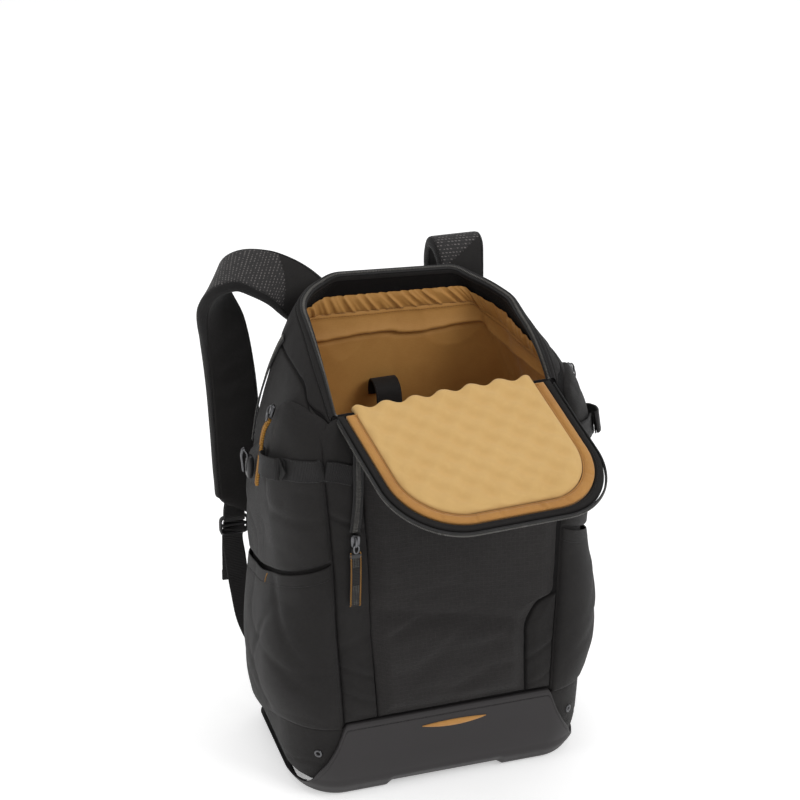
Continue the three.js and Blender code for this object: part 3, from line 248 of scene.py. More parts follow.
def piece(name, verts, faces, mats, uv=None, slot=None, replaces=(), picks=None, flat=False):
    mesh = bpy.data.meshes.new(name)
    verts = np.asarray(verts, float).reshape(-1, 3) * 0.001
    faces = [tuple(int(i) for i in f) for f in faces]
    mesh.from_pydata(verts.tolist(), [], faces)
    mats = mats if isinstance(mats, (list, tuple)) else [mats]
    for m in mats:
        mesh.materials.append(m)
    if picks is not None:
        mesh.polygons.foreach_set("material_index", np.asarray(picks, np.int32))
    mesh.polygons.foreach_set("use_smooth", [not flat] * len(mesh.polygons))
    layer = mesh.uv_layers.new(name="cloth")
    loops = np.zeros(len(mesh.loops), np.int64)
    mesh.loops.foreach_get("vertex_index", loops)
    if uv is None:
        v = verts * 1000
        uv = np.stack([v[:, 0] + v[:, 1] * 0.6, v[:, 2] + v[:, 1] * 0.3], -1)
    uv = np.asarray(uv, float).reshape(-1, 2) * UV_SCALE
    layer.data.foreach_set("uv", uv[loops].astype(np.float32).ravel())
    mesh.update()
    obj = bpy.data.objects.new(name, mesh)
    scene.collection.objects.link(obj)
    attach(obj, "root")
    if replaces:
        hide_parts(*replaces)
    return obj


def quads(rows, columns, closed=False, start=0, flip=False):
    out = []
    last = columns if closed else columns - 1
    for r in range(rows - 1):
        for c in range(last):
            a, b = start + r * columns + c, start + r * columns + (c + 1) % columns
            f = (a, b, b + columns, a + columns)
            out.append(f[::-1] if flip else f)
    return out


def arcs(grid):
    """Distances in millimetres along the rows and the columns of a grid of points."""
    du = np.zeros(grid.shape[:2])
    dv = np.zeros(grid.shape[:2])
    du[:, 1:] = np.cumsum(np.linalg.norm(np.diff(grid, axis=1), axis=-1), axis=1)
    dv[1:] = np.cumsum(np.linalg.norm(np.diff(grid, axis=0), axis=-1), axis=0)
    return du, dv


def from_edges(du, dv):
    """Distance from each spot to the nearest border of its grid."""
    return np.minimum(np.minimum(du, du[:, -1:] - du), np.minimum(dv, dv[-1:] - dv))


def border(grid):
    """The points round a grid, in order."""
    return np.concatenate([grid[0], grid[1:, -1], grid[-1, -2::-1], grid[-2:0:-1, 0]])


class Build:
    """Collects vertices, faces, UVs and material picks of one piece."""

    def __init__(self):
        self.verts, self.faces, self.uv, self.picks, self.count = [], [], [], [], 0

    def put(self, verts, faces, uv=None, pick=0):
        verts = np.asarray(verts, float).reshape(-1, 3)
        if uv is None:
            uv = np.stack([verts[:, 0] + verts[:, 1] * 0.6, verts[:, 2] + verts[:, 1] * 0.3], -1)
        self.faces += [tuple(int(i) + self.count for i in f) for f in faces]
        self.picks += [pick] * len(faces)
        self.verts.append(verts)
        self.uv.append(np.asarray(uv, float).reshape(-1, 2))
        self.count += len(verts)

    def grid(self, grid, closed=False, flip=False, pick=0):
        rows, columns = grid.shape[:2]
        du, dv = arcs(grid)
        self.put(grid, quads(rows, columns, closed, 0, flip), np.stack([du, dv], -1), pick)

    def cap(self, ring, flip=False, pick=0, centre=None):
        """Closes a ring with triangles round its centre."""
        count = len(ring)
        centre = ring.mean(0) if centre is None else centre
        faces = [(k, (k + 1) % count, count) for k in range(count)]
        faces = [(b, a, c) for a, b, c in faces] if flip else faces
        self.put(np.concatenate([ring, [centre]]), faces, None, pick)

    def loft(self, rings, pick=0):
        """A closed body through rings of as many points each."""
        rows, count = len(rings), len(rings[0])
        ends = [tuple(range(count))[::-1], tuple(range((rows - 1) * count, rows * count))]
        self.put(rings, quads(rows, count, True) + ends, None, pick)

    def made(self, name, mats, **more):
        return piece(
            name, np.concatenate(self.verts), self.faces, mats, np.concatenate(self.uv), picks=self.picks,
            **more
        )


def frames(path, facing, closed=False):
    """Directions across and up at each spot of a path, from roughly the way its face looks."""
    if closed:
        ahead = unit(np.roll(path, -1, 0) - np.roll(path, 1, 0))
    else:
        ahead = unit(np.gradient(path, axis=0))
    facing = np.broadcast_to(np.asarray(facing, float), path.shape)
    across = unit(np.cross(ahead, facing))
    return ahead, across, unit(np.cross(across, ahead))


def sweep(build, path, facing, section, wide=None, closed=False, pick=0, ends=True, puff=None):
    """Carries a closed section of (across, up) points along a path."""
    _, across, up = frames(path, facing, closed)
    section = np.asarray(section, float)
    w = np.ones(len(path)) if wide is None else np.broadcast_to(wide, len(path))
    ring = (
        path[:, None]
        + across[:, None] * section[None, :, :1] * w[:, None, None]
        + up[:, None] * section[None, :, 1:]
    )
    if puff is not None:
        ring = ring + up[:, None] * puff(ring)[..., None]
    rows, size = len(path), len(section)
    du, dv = arcs(np.concatenate([ring, ring[:, :1]], 1))
    uv = np.stack([du[:, :size], np.broadcast_to(dv[:, :1], du[:, :size].shape)], -1)
    faces = quads(rows, size, True)
    if closed:
        a = (rows - 1) * size
        faces += [(a + c, a + (c + 1) % size, (c + 1) % size, c) for c in range(size)]
    elif ends:
        faces.append(tuple(range(size))[::-1])
        faces.append(tuple(range((rows - 1) * size, rows * size)))
    build.put(ring, faces, uv, pick)
    return ring


def ribbon(width, thick, soft=0.35, count=5):
    """Section of a flat band with rounded edges."""
    w, t = width / 2, thick / 2
    c = min(soft * thick * 1.4, t * 0.98)
    a = np.linspace(0, np.pi / 2, 4)
    corners = []
    for sx, sy, turn in ((1, 1, 0), (-1, 1, 1), (-1, -1, 2), (1, -1, 3)):
        q = a + turn * np.pi / 2
        corners += [(sx * (w - c) + c * math.cos(v), sy * (t - c) + c * math.sin(v)) for v in q]
    body = []
    for k, p in enumerate(corners):
        body.append(p)
        if k == 3 and count > 0:
            for f in np.linspace(1, -1, count + 2)[1:-1]:
                body.append((f * (w - c), t))
        if k == 11 and count > 0:
            for f in np.linspace(-1, 1, count + 2)[1:-1]:
                body.append((f * (w - c), -t))
    return np.array(body)


def round_section(radius, count=8, squash=1.0):
    a = np.linspace(0, 2 * np.pi, count, endpoint=False)
    return np.stack([np.cos(a) * radius, np.sin(a) * radius * squash], -1)


def boxy(count, power):
    """A rounded square from -1 to 1; a lower power is squarer."""
    a = np.linspace(0, 2 * np.pi, count, endpoint=False)
    c, s = np.cos(a), np.sin(a)
    return np.stack([np.sign(c) * np.abs(c) ** power, np.sign(s) * np.abs(s) ** power], -1)


BEAD = np.array(
    [[math.cos(a) * r, z, math.sin(a) * r] for z, r in ((-1, 0.55), (-0.45, 1), (0.45, 1), (1, 0.55))
     for a in np.linspace(0, 2 * np.pi, 6, endpoint=False)]
)
BEAD_FACES = quads(4, 6, True) + [tuple(range(6))[::-1], tuple(range(18, 24))]
THREAD = np.array(
    [
        [math.cos(a) * r, z, math.sin(a) * r] for z,
        r in ((-1, 0.5), (0, 1), (1, 0.5)) for a in (0, 1.57, 3.14, 4.71)
    ]
)
THREAD_FACES = quads(3, 4, True) + [(3, 2, 1, 0), (8, 9, 10, 11)]


def row_of(
    build, path, facing, pitch, size, shape=(BEAD, BEAD_FACES), closed=False, lift=0.0, aside=0.0, turn=0.0,
    pick=0, zigzag=0.0
):
    """Repeats a small shape along a path. size is (across, along, up) half sizes."""
    if closed:
        path = np.concatenate([path, path[:1]])
        if np.ndim(facing) > 1:
            facing = np.concatenate([facing, facing[:1]])
    length = path_length(path)
    count = max(2, int(length / pitch))
    s = np.concatenate([[0], np.cumsum(np.linalg.norm(np.diff(path, axis=0), axis=1))])
    at = (np.arange(count) + 0.5) * length / count
    p = np.stack([np.interp(at, s, path[:, i]) for i in range(3)], -1)
    facing = np.broadcast_to(np.asarray(facing, float), path.shape)
    f = np.stack([np.interp(at, s, facing[:, i]) for i in range(3)], -1)
    ahead = unit(
        np.stack(
            [np.interp(at + 0.4, s, path[:, i]) - np.interp(at - 0.4, s, path[:, i]) for i in range(3)], -1
        )
    )
    across = unit(np.cross(ahead, f))
    up = unit(np.cross(across, ahead))
    side = aside + zigzag * np.where(np.arange(count) % 2 == 0, 1.0, -1.0)
    p = p + up * lift + across * np.broadcast_to(side, count)[:, None]
    if turn:
        c, d = math.cos(turn), math.sin(turn)
        sign = np.where(np.arange(count) % 2 == 0, 1.0, -1.0)[:, None] if zigzag else 1.0
        ahead, across = ahead * c + across * d * sign, across * c - ahead * d * sign
    shape_v, shape_f = shape
    local = shape_v * np.asarray(size, float)
    v = (
        p[:, None]
        + across[:, None] * local[None, :, :1]
        + ahead[:, None] * local[None, :, 1:2]
        + up[:, None] * local[None, :, 2:3]
    )
    m = len(shape_v)
    faces = [tuple(i + k * m for i in face) for k in range(count) for face in shape_f]
    build.put(v, faces, None, pick)


def stitches(build, path, facing, lift=0.25, pitch=3.4, thick=0.3, pick=0, closed=False, aside=0.0):
    row_of(
        build, path, facing, pitch, (thick, pitch * 0.37, thick * 0.8), shape=(THREAD, THREAD_FACES),
        closed=closed, lift=lift, aside=aside, pick=pick
    )


def edge_stitches(build, path, facing, aside, **more):
    """A line of stitches along each edge of a band."""
    for a in (-aside, aside):
        stitches(build, path, facing, aside=a, **more)


# Materials.
class Nodes:
    def __init__(self, name):
        self.mat = bpy.data.materials.new(name)
        self.mat.use_nodes = True
        self.tree = self.mat.node_tree
        self.tree.nodes.clear()
        self.coord = self.tree.nodes.new("ShaderNodeTexCoord")

    def link(self, a, b):
        self.tree.links.new(a, b)

    def put(self, socket, value):
        if isinstance(value, bpy.types.NodeSocket):
            self.link(value, socket)
        else:
            socket.default_value = value

    def math(self, op, a, b=0.0, c=0.0):
        n = self.tree.nodes.new("ShaderNodeMath")
        n.operation = op
        for socket, value in zip(n.inputs, (a, b, c)):
            self.put(socket, value)
        return n.outputs[0]

    def mul(self, a, b):
        return self.math("MULTIPLY", a, b)

    def add(self, a, b):
        return self.math("ADD", a, b)

    def wave(self, kind, value, period):
        """A sine or cosine of a value, with its period in the value's own units."""
        return self.math(kind, self.mul(value, 2 * math.pi / period))

    def clamp(self, value):
        return self.math("MINIMUM", self.math("MAXIMUM", value, 0.0), 1.0)

    def noise(self, vector, scale, detail=3.0, rough=0.55):
        n = self.tree.nodes.new("ShaderNodeTexNoise")
        self.put(n.inputs["Vector"], vector)
        n.inputs["Scale"].default_value = scale
        n.inputs["Detail"].default_value = detail
        n.inputs["Roughness"].default_value = rough
        return n.outputs["Fac"]

    def stretch(self, vector, scale, turn=0.0):
        n = self.tree.nodes.new("ShaderNodeMapping")
        self.put(n.inputs["Vector"], vector)
        n.inputs["Scale"].default_value = scale
        n.inputs["Rotation"].default_value = (0, 0, turn)
        return n.outputs["Vector"]

    def split(self, vector):
        n = self.tree.nodes.new("ShaderNodeSeparateXYZ")
        self.put(n.inputs[0], vector)
        return n.outputs[0], n.outputs[1]

    def ramp(self, fac, low, high, a=0.0, b=1.0):
        n = self.tree.nodes.new("ShaderNodeMapRange")
        self.put(n.inputs["Value"], fac)
        n.inputs["From Min"].default_value = low
        n.inputs["From Max"].default_value = high
        n.inputs["To Min"].default_value = a
        n.inputs["To Max"].default_value = b
        return n.outputs["Result"]

    def blend(self, fac, a, b):
        n = self.tree.nodes.new("ShaderNodeMix")
        n.data_type = "RGBA"
        self.put(n.inputs["Factor"], fac)
        self.put(n.inputs[6], a)
        self.put(n.inputs[7], b)
        return n.outputs[2]

    def bump(self, height, distance, strength=1.0, normal=None):
        n = self.tree.nodes.new("ShaderNodeBump")
        n.inputs["Strength"].default_value = strength
        n.inputs["Distance"].default_value = distance
        self.put(n.inputs["Height"], height)
        if normal is not None:
            self.link(normal, n.inputs["Normal"])
        return n.outputs["Normal"]

    def done(
        self, color, rough, normal=None, metallic=0.0, specular=0.5, sheen=0.0, sheen_rough=0.4, tint=None
    ):
        s = self.tree.nodes.new("ShaderNodeBsdfPrincipled")
        self.put(s.inputs["Base Color"], color)
        self.put(s.inputs["Roughness"], rough)
        s.inputs["Metallic"].default_value = metallic
        s.inputs["Specular IOR Level"].default_value = specular
        s.inputs["Sheen Weight"].default_value = sheen
        s.inputs["Sheen Roughness"].default_value = sheen_rough
        if tint:
            s.inputs["Sheen Tint"].default_value = tint
        if normal is not None:
            self.link(normal, s.inputs["Normal"])
        out = self.tree.nodes.new("ShaderNodeOutputMaterial")
        self.link(s.outputs["BSDF"], out.inputs["Surface"])
        return self.mat


def rgb(r, g, b, gain=1.0):
    """A colour given as screen values from 0 to 255."""
    lin = [
        ((c / 255) / 12.92 if c / 255 <= 0.04045 else ((c / 255 + 0.055) / 1.055) ** 2.4) * gain
        for c in (r, g, b)
    ]
    return (*lin, 1.0)


def cloth(
    name, color, dark, pitch=0.9, rough=(0.62, 0.8), depth=0.00012, sheen=0.1, slub=0.5, grid=0.0, spec=0.4,
    soil=0.0, tint=None
):
    """Woven cloth: threads both ways, slubs, slow shade changes and, where asked for, a reinforcing grid."""
    n = Nodes(name)
    uv = n.coord.outputs["UV"]
    u, v = n.split(uv)
    weave = n.mul(n.wave("SINE", u, pitch * UV_SCALE), n.wave("SINE", v, pitch * UV_SCALE))
    slub_u = n.noise(n.stretch(uv, (18, 210, 1)), 1.0, 3.0, 0.6)
    slub_v = n.noise(n.stretch(uv, (210, 18, 1)), 1.0, 3.0, 0.6)
    slubs = n.add(n.mul(slub_u, 0.65), n.mul(slub_v, 0.35))
    slow = n.noise(n.coord.outputs["Object"], 9.0, 4.0, 0.6)
    fac = n.add(n.mul(n.ramp(slubs, 0.3, 0.7), slub), n.mul(n.ramp(slow, 0.3, 0.7), 1 - slub))
    height = n.add(n.mul(weave, 0.5), n.mul(slubs, 1.6))
    if grid:
        waves = [n.math("MAXIMUM", n.wave("COSINE", w, grid * UV_SCALE), 0.0) for w in (u, v)]
        lines = n.math("MAXIMUM", *[n.math("POWER", w, 24.0) for w in waves])
        height = n.add(height, n.mul(lines, 1.2))
        fac = n.add(fac, n.mul(lines, 0.25))
    color_out = n.blend(n.clamp(fac), dark, color)
    if soil:
        fine = n.ramp(n.noise(n.coord.outputs["Object"], 60.0, 5.0, 0.7), 0.55, 0.8)
        color_out = n.blend(n.mul(fine, soil), color_out, dark)
    return n.done(
        color_out, n.ramp(slubs, 0.3, 0.7, rough[1], rough[0]), n.bump(height, depth), specular=spec,
        sheen=sheen, tint=tint
    )


def ribbed(name, color, dark, pitch=1.5, across=0.55, rough=0.6, depth=0.00018, sheen=0.1, spec=0.4):
    """Webbing: heavy ribs across the band with twill steps between them."""
    n = Nodes(name)
    uv = n.coord.outputs["UV"]
    u, v = n.split(uv)
    ribs = n.wave("SINE", v, pitch * UV_SCALE)
    step = n.wave("SINE", n.add(u, n.mul(v, 0.5)), across * UV_SCALE)
    height = n.add(ribs, n.mul(step, 0.45))
    slow = n.noise(n.coord.outputs["Object"], 40.0, 4.0, 0.6)
    fac = n.add(n.ramp(height, -1.4, 1.4, 0.0, 0.7), n.mul(slow, 0.4))
    return n.done(
        n.blend(n.math("MINIMUM", fac, 1.0), dark, color), rough, n.bump(height, depth), specular=spec,
        sheen=sheen
    )


def moulded(
    name, color, dark, rough=(0.4, 0.55), grain=900.0, depth=0.00006, spec=0.5, metallic=0.0,
    slow_scale=14.0
):
    """Moulded or cast parts: a fine grain, and a polish that changes a little, slowly, across the surface."""
    n = Nodes(name)
    obj = n.coord.outputs["Object"]
    fine = n.noise(obj, grain, 2.0, 0.6)
    slow = n.noise(obj, slow_scale, 4.0, 0.6)
    both = n.add(n.mul(fine, 0.4), n.mul(slow, 0.6))
    return n.done(
        n.blend(n.ramp(both, 0.3, 0.7), dark, color),
        n.ramp(slow, 0.3, 0.7, rough[0], rough[1]),
        n.bump(fine, depth),
        specular=spec,
        metallic=metallic,
    )


BLACK = cloth("black_cloth", rgb(36, 34, 33), rgb(23, 21, 21), pitch=0.8, sheen=0.05, spec=0.2)
RIPSTOP = cloth(
    "ripstop", rgb(43, 40, 39), rgb(23, 21, 21), pitch=0.7, sheen=0.05, slub=0.7, grid=4.6, depth=0.00016,
    spec=0.24
)
# A darker, duller copy of the black cloth, for faces inside the wall, inside the pouches and in the eyelets'
# holes: painted shade.
INNER_BLACK_PAINTED_SHADE = cloth(
    "inner_black_painted_shade", rgb(24, 22, 22), rgb(13, 12, 12), pitch=0.7, rough=(0.75, 0.9), sheen=0.03, spec=0.15
)
TAN = cloth(
    "tan_cloth", rgb(210, 158, 88), rgb(176, 122, 58), pitch=0.6, rough=(0.45, 0.65), sheen=0.15, slub=0.35,
    depth=0.00006
)
TAN_EDGE = cloth(
    "tan_edge", rgb(196, 144, 74), rgb(158, 106, 48), pitch=0.7, rough=(0.55, 0.72), sheen=0.3, slub=0.4,
    depth=0.0001
)
PAD = cloth(
    "pad_cloth", rgb(211, 174, 114), rgb(200, 161, 100), pitch=0.55, rough=(0.8, 0.92), sheen=0.15,
    slub=0.3, depth=0.00004
)
COATED = moulded(
    "coated", rgb(50, 47, 48), rgb(42, 40, 40), rough=(0.48, 0.6), grain=1500.0, depth=0.00005, spec=0.3
)
GOLD = ribbed("gold_webbing", rgb(205, 148, 52), rgb(120, 76, 20), pitch=2.6, across=1.6, depth=0.0003)
WEBBING = ribbed("black_webbing", rgb(36, 34, 34), rgb(16, 15, 15), pitch=1.7, spec=0.25, sheen=0.05)
TAPE = ribbed("zip_tape", rgb(26, 24, 24), rgb(14, 13, 13), pitch=0.9, across=0.7, depth=0.0001)
# The zip coil is black plastic; its mid-grey colour is a painted highlight, for the gleam on its loops.
COIL_PAINTED_GLEAM = moulded("zip_coil", rgb(104, 102, 98), rgb(62, 60, 58), rough=(0.2, 0.32), grain=300.0)
GUNMETAL = moulded("gunmetal", rgb(120, 120, 122), rgb(70, 70, 72), rough=(0.25, 0.4), metallic=1.0)
PLASTIC = moulded("black_plastic", rgb(38, 37, 38), rgb(26, 25, 26), rough=(0.32, 0.45))
GOLD_THREAD = ribbed("gold_thread", rgb(205, 150, 62), rgb(150, 100, 36), pitch=0.8)
BLACK_THREAD = ribbed("black_thread", rgb(26, 24, 24), rgb(12, 11, 11), pitch=0.8)
TAN_THREAD = ribbed("tan_thread", rgb(176, 118, 52), rgb(130, 82, 32), pitch=0.8)
BINDING = ribbed("binding", rgb(33, 31, 31), rgb(17, 16, 16), pitch=1.2, spec=0.2, sheen=0.05)
SPACER = cloth(
    "spacer_mesh", rgb(38, 36, 36), rgb(14, 13, 13), pitch=2.2, rough=(0.7, 0.9), depth=0.0004, sheen=0.08,
    spec=0.2
)


# The seam over the side and the back, as shares and rises. The right side mirrors the left.
SHOULDER = [
    (0.46, 0.959), (0.49, 0.963), (0.56, 0.953), (0.628, 0.938), (0.70, 0.92), (0.774, 0.905), (0.82, 0.9),
    (0.88, 0.905), (1.0, 0.91)
]


def seam_rise(share):
    """Rise of the seam over the side and the back."""
    low = np.array([(0.3, 0.93), (0.323, 0.936), (0.37, 0.955), (0.42, 0.958)] + SHOULDER)
    return pchip(np.abs(share), low[:, 0], low[:, 1])


def ruled(first, last, width, height, step=2.7):
    """Shares and rises between a left and a right border, both given from the bottom up."""
    u, v = lay(width, step), lay(height, step)
    a, b = curve(first, v), curve(last, v)
    return tuple(a[:, None, i] * (1 - u) + b[:, None, i] * u for i in (0, 1))


def between(shares, low, high, height, step=2.8):
    """Shares and rises between a lower and an upper border, both given by share."""
    mid = np.array([(s, (a + b) / 2) for s, a, b in zip(shares, low, high)])
    width = path_length(wall(mid[:, 0], mid[:, 1])[0])
    u, v = lay(width, step), lay(height, step)[:, None]
    a, b = curve(list(zip(shares, low)), u), curve(list(zip(shares, high)), u)
    return tuple(a[None, :, i] * (1 - v) + b[None, :, i] * v for i in (0, 1))


def panel(name, spots, mats, crown=1.0, sink=-1.3, roll=3.4, shape=None, seed=1, wear=0.35, **more):
    """A sewn panel on the body with its edges rolled in, over a grid of shares and rises."""
    share, rise = spots
    base, _ = wall(share, rise, 0.0)
    du, dv = arcs(base)
    d = from_edges(du, dv)
    out = sink + (crown - sink) * rounded(d, roll)
    out = out + wear * smooth(d / 14) * (0.9 * noise(base, 34, seed) + 0.5 * noise(base, 13, seed + 5))
    out = out + 0.28 * bell(d - 5, 4.5) * noise(base, 5.5, seed + 9)
    if shape is not None:
        out = out + shape(share, rise, base, d)
    grid, _ = wall(share, rise, out)
    build = Build()
    build.grid(grid, flip=share[0, -1] < share[0, 0])
    return build.made(name, mats, **more)


def on_wall(points, out, count=None):
    """A line of (share, rise) spots on the skin, in millimetres, with the skin's normals."""
    p = np.asarray(points, float)
    if count:
        p = curve(p, count)
    return wall(p[:, 0], p[:, 1], out)


def shell():
    """The padded shell below the panels: outer skin, rolled rim and inner side."""
    shares = np.linspace(-1, 1, 181)[:-1]
    rises = np.concatenate([np.linspace(0, 0.97, 80), np.linspace(0.975, 1, 9)])
    rings = [wall(shares, np.full(shares.shape, r), -0.9)[0] for r in rises]
    outer, n = wall(shares, np.ones_like(shares), -0.9)
    inner = wall(shares, np.ones_like(shares), -WALL + 0.2)[0]
    for t in np.linspace(0.12, 0.88, 7):
        ring = outer * (1 - t) + inner * t
        ring[:, 2] += 1.1 * math.sin(math.pi * t) - 0.6
        rings.append(ring)
    for r in np.concatenate([np.linspace(1, 0.9, 10), np.linspace(0.88, 0.05, 24)]):
        rings.append(wall(shares, np.full(shares.shape, r), -WALL + 0.2)[0])
    build = Build()
    build.grid(np.array(rings), closed=True)
    build.cap(rings[0], flip=True)
    build.cap(rings[-1])
    # The core takes the darker copy of the black cloth: painted shade where it shows between panels and
    # inside the wall.
    return build.made("body_core", [INNER_BLACK_PAINTED_SHADE], slot="black_cloth", replaces=("body_shell",))


shell()

FRONT_ROWS = np.array([
    [0.17, 2.5], [0.2, 5.2], [0.24, 8.2], [0.3, 10.4], [0.36, 11.0], [0.405, 9.4], [0.432, 6.2], [0.445, 4.6],
    [0.458, 5.6], [0.475, 6.6], [0.53, 6.0], [0.66, 5.5], [0.8, 4.5], [0.93, 3.0],
])


def front_shape(share, rise, base, d):
    """The lower half bulges under a slanting fold; the upper half lies nearly flat."""
    slant = -0.238 * (share - 0.02) * smooth((rise - 0.2) / 0.16)
    r = rise - slant
    out = pchip(r, FRONT_ROWS[:, 0], FRONT_ROWS[:, 1]) - 1.0
    edge = smooth(d / 16)
    lift = -1.3 + (out + 1.3) * (0.22 + 0.78 * edge)
    for at, deep, slope, wide, where in (
        (0.405, 2.6, 0.42, 0.011, -0.1), (0.365, 2.2, 0.5, 0.014, 0.06), (0.322, 1.8, 0.62, 0.014, -0.08),
        (0.285, 1.5, 0.35, 0.013, 0.1), (0.25, 1.2, 0.28, 0.012, -0.02), (0.505, 1.0, 0.1, 0.01, -0.05),
    ):
        off = (r - at - slope * (share - where) - 0.05 * np.sin(share * 23 + at * 40) * 0.25) / wide
        reach = bell(share - where, 0.13)
        lift = lift - deep * reach * edge * np.where(off > 0, bell(off), bell(off, 2.4))
    lift = lift + 0.8 * edge * noise(base, (46, 40, 15), 31) * smooth((0.46 - r) / 0.1)
    lift = lift + 0.5 * edge * creases(base, 38, 12) * smooth((0.5 - r) / 0.1)
    return lift + 0.25 * smooth(d / 10) * noise(base, (22, 22, 9), 17)


front = panel(
    "front_panel",
    ruled(
        [(-0.203, 0.1935), (-0.206, 0.302), (-0.21, 0.4), (-0.211, 0.6), (-0.212, 0.8), (-0.214, 0.94)],
        [
            (0.226, 0.1935), (0.222, 0.24), (0.217, 0.33), (0.217, 0.382), (0.226, 0.404), (0.25, 0.437),
            (0.286, 0.452), (0.291, 0.5), (0.291, 0.65), (0.291, 0.8), (0.288, 0.94)
        ],
        160, 330, 2.2
    ),
    [RIPSTOP], shape=front_shape, slot="black_cloth", replaces=("front_pocket",),
)


def strip_shape(crease_rows, bulge=2.2, seed=3):
    """Creases of a narrow strip. Columns: rise, slope, depth, width."""
    def shape(share, rise, base, d):
        out = bulge * smooth(d / 12)
        a = np.abs(share)
        for at, slope, deep, wide in crease_rows:
            off = (rise - at - slope * (0.3 - a)) / wide
            out = out - deep * bell(off) + deep * 0.45 * bell(off - 2.6, 1.6)
        return out + 0.35 * smooth(d / 8) * noise(base, (14, 14, 24), seed)

    return shape


left_strip = panel(
    "strip_left",
    ruled(
        [
            (-0.3, 0.1935), (-0.301, 0.3), (-0.302, 0.5), (-0.303, 0.8), (-0.307, 0.867), (-0.323, 0.932),
            (-0.37, 0.955), (-0.42, 0.958), (-0.446, 0.96)
        ],
        [
            (-0.2055, 0.1935), (-0.208, 0.302), (-0.211, 0.5), (-0.213, 0.7), (-0.218, 0.8), (-0.219, 0.86),
            (-0.222, 0.91), (-0.245, 0.965), (-0.285, 0.994)
        ],
        33, 370, 2.2
    ),
    [BLACK], crown=2.0, slot="black_cloth", replaces=("front_strip_left",),
    shape=strip_shape(
        [
            (0.352, -0.5, 1.3, 0.008), (0.282, -0.5, 1.2, 0.007), (0.765, -0.6, 1.4, 0.007),
            (0.4, 0.3, 0.7, 0.014), (0.225, -0.3, 0.8, 0.01), (0.66, 0.2, 0.5, 0.016),
            (0.52, -0.2, 0.5, 0.014)
        ]
    ),
)
right_strip = panel(
    "strip_right",
    ruled(
        [
            (0.231, 0.1935), (0.227, 0.24), (0.222, 0.33), (0.222, 0.382), (0.231, 0.402), (0.243, 0.425),
            (0.266, 0.44), (0.288, 0.447)
        ],
        [
            (0.3, 0.1935), (0.3, 0.24), (0.3, 0.3), (0.3, 0.35), (0.3, 0.38), (0.3, 0.41), (0.3, 0.43),
            (0.3, 0.45)
        ],
        30, 130, 2.0
    ),
    [BLACK], crown=2.0, slot="black_cloth", replaces=("front_strip_right",),
    shape=strip_shape([(0.318, -0.5, 1.3, 0.009), (0.235, -0.4, 1.1, 0.008)]),
)

# Side pockets, pouches and the panels behind them.
# Columns: share, then the heights of the pocket's top, the pocket's foot and the pouch's foot.
POCKET = np.array(
    [
        [0.306, 0.826, 0.552, 0.168], [0.345, 0.834, 0.54, 0.168], [0.385, 0.84, 0.527, 0.166],
        [0.425, 0.845, 0.512, 0.163], [0.465, 0.848, 0.497, 0.156], [0.5, 0.846, 0.484, 0.143],
        [0.54, 0.832, 0.47, 0.128], [0.58, 0.79, 0.456, 0.11], [0.62, 0.745, 0.445, 0.092],
        [0.66, 0.712, 0.436, 0.076], [0.7, 0.688, 0.428, 0.066], [0.74, 0.665, 0.42, 0.062],
        [0.775, 0.628, 0.417, 0.06], [0.8, 0.585, 0.416, 0.06],
    ]
)
POCKET_FRONT, POCKET_REAR = 0.306, 0.8
SIDES = ((-1, "left"), (1, "right"))
SIDE_SHARES = np.array(
    [0.302, 0.33, 0.37, 0.42, 0.46, 0.49, 0.53, 0.58, 0.628, 0.68, 0.72, 0.774, 0.81, 0.838]
)


def pocket_z(share, column):
    """Height in millimetres of one of the pocket table's lines."""
    return pchip(np.abs(share), POCKET[:, 0], POCKET[:, column]) * BODY_HEIGHT


def span(share):
    """0 at a side pocket's front edge, 1 at its back edge."""
    return np.clip((np.abs(share) - POCKET_FRONT) / (POCKET_REAR - POCKET_FRONT), 0, 1)


def pocket_out(share, t):
    """How far an upper pocket stands off the body, t from its foot to its top."""
    across = np.sin(np.pi * span(share)) ** 0.55
    up = np.sin(np.pi * np.clip(0.06 + 0.91 * t, 0, 1)) ** 0.5
    return 2.4 + 7.6 * across * up


def gusset_seam(share, rise, base, d):
    """A groove that falls along the gusset towards the back."""
    at = pchip(np.abs(share), [0.4, 0.434, 0.524, 0.629, 0.7], [0.075, 0.06, 0.037, 0.027, 0.025])
    return -0.9 * np.exp(-(((rise - at) * 420 / 1.6) ** 2))


for side, tag in SIDES:
    foot = rise_at(side * SIDE_SHARES, pocket_z(SIDE_SHARES, 3))
    gusset = panel(
        "gusset_" + tag, between(side * SIDE_SHARES, foot * 0, foot + 0.004, 60, 2.6), [BLACK], crown=0.7,
        roll=2.6, slot="black_cloth", seed=40 + side, shape=gusset_seam,
    )
    top = seam_rise(SIDE_SHARES) - 0.0015
    made = panel(
        "side_panel_" + tag, between(side * SIDE_SHARES, foot + 0.006, top, 360, 3.0), [BLACK], crown=0.7,
        wear=0.5, slot="black_cloth", seed=20 + side,
    )

ROUND = np.concatenate(
    [[0.3, 0.35, 0.395, 0.43, 0.46], [0.49, 0.56, 0.628, 0.7, 0.774, 0.82, 0.88, 0.94, 1.0]]
)
ROUND = np.concatenate([ROUND, 2 - ROUND[-2::-1]])


def yoke_low(share):
    a = np.abs(wrap(share))
    front = pchip(a, [0.3, 0.395, 0.43, 0.46], [0.9885, 0.979, 0.967, 0.961])
    return np.where(a < 0.46, front, seam_rise(a) + 0.0035)


yoke = panel(
    "yoke", between(ROUND, yoke_low(ROUND), np.full(len(ROUND), 0.991), 34, 2.6), [BLACK], crown=0.9,
    roll=2.6, slot="black_cloth", seed=60, wear=0.3,
)
BACK_SHARES = np.linspace(0.842, 1.158, 13)
back = panel(
    "back_skin", between(BACK_SHARES, np.zeros(13), seam_rise(wrap(BACK_SHARES)) - 0.0015, 380, 4.0),
    [BLACK], crown=0.7, slot="black_cloth", seed=66,
)


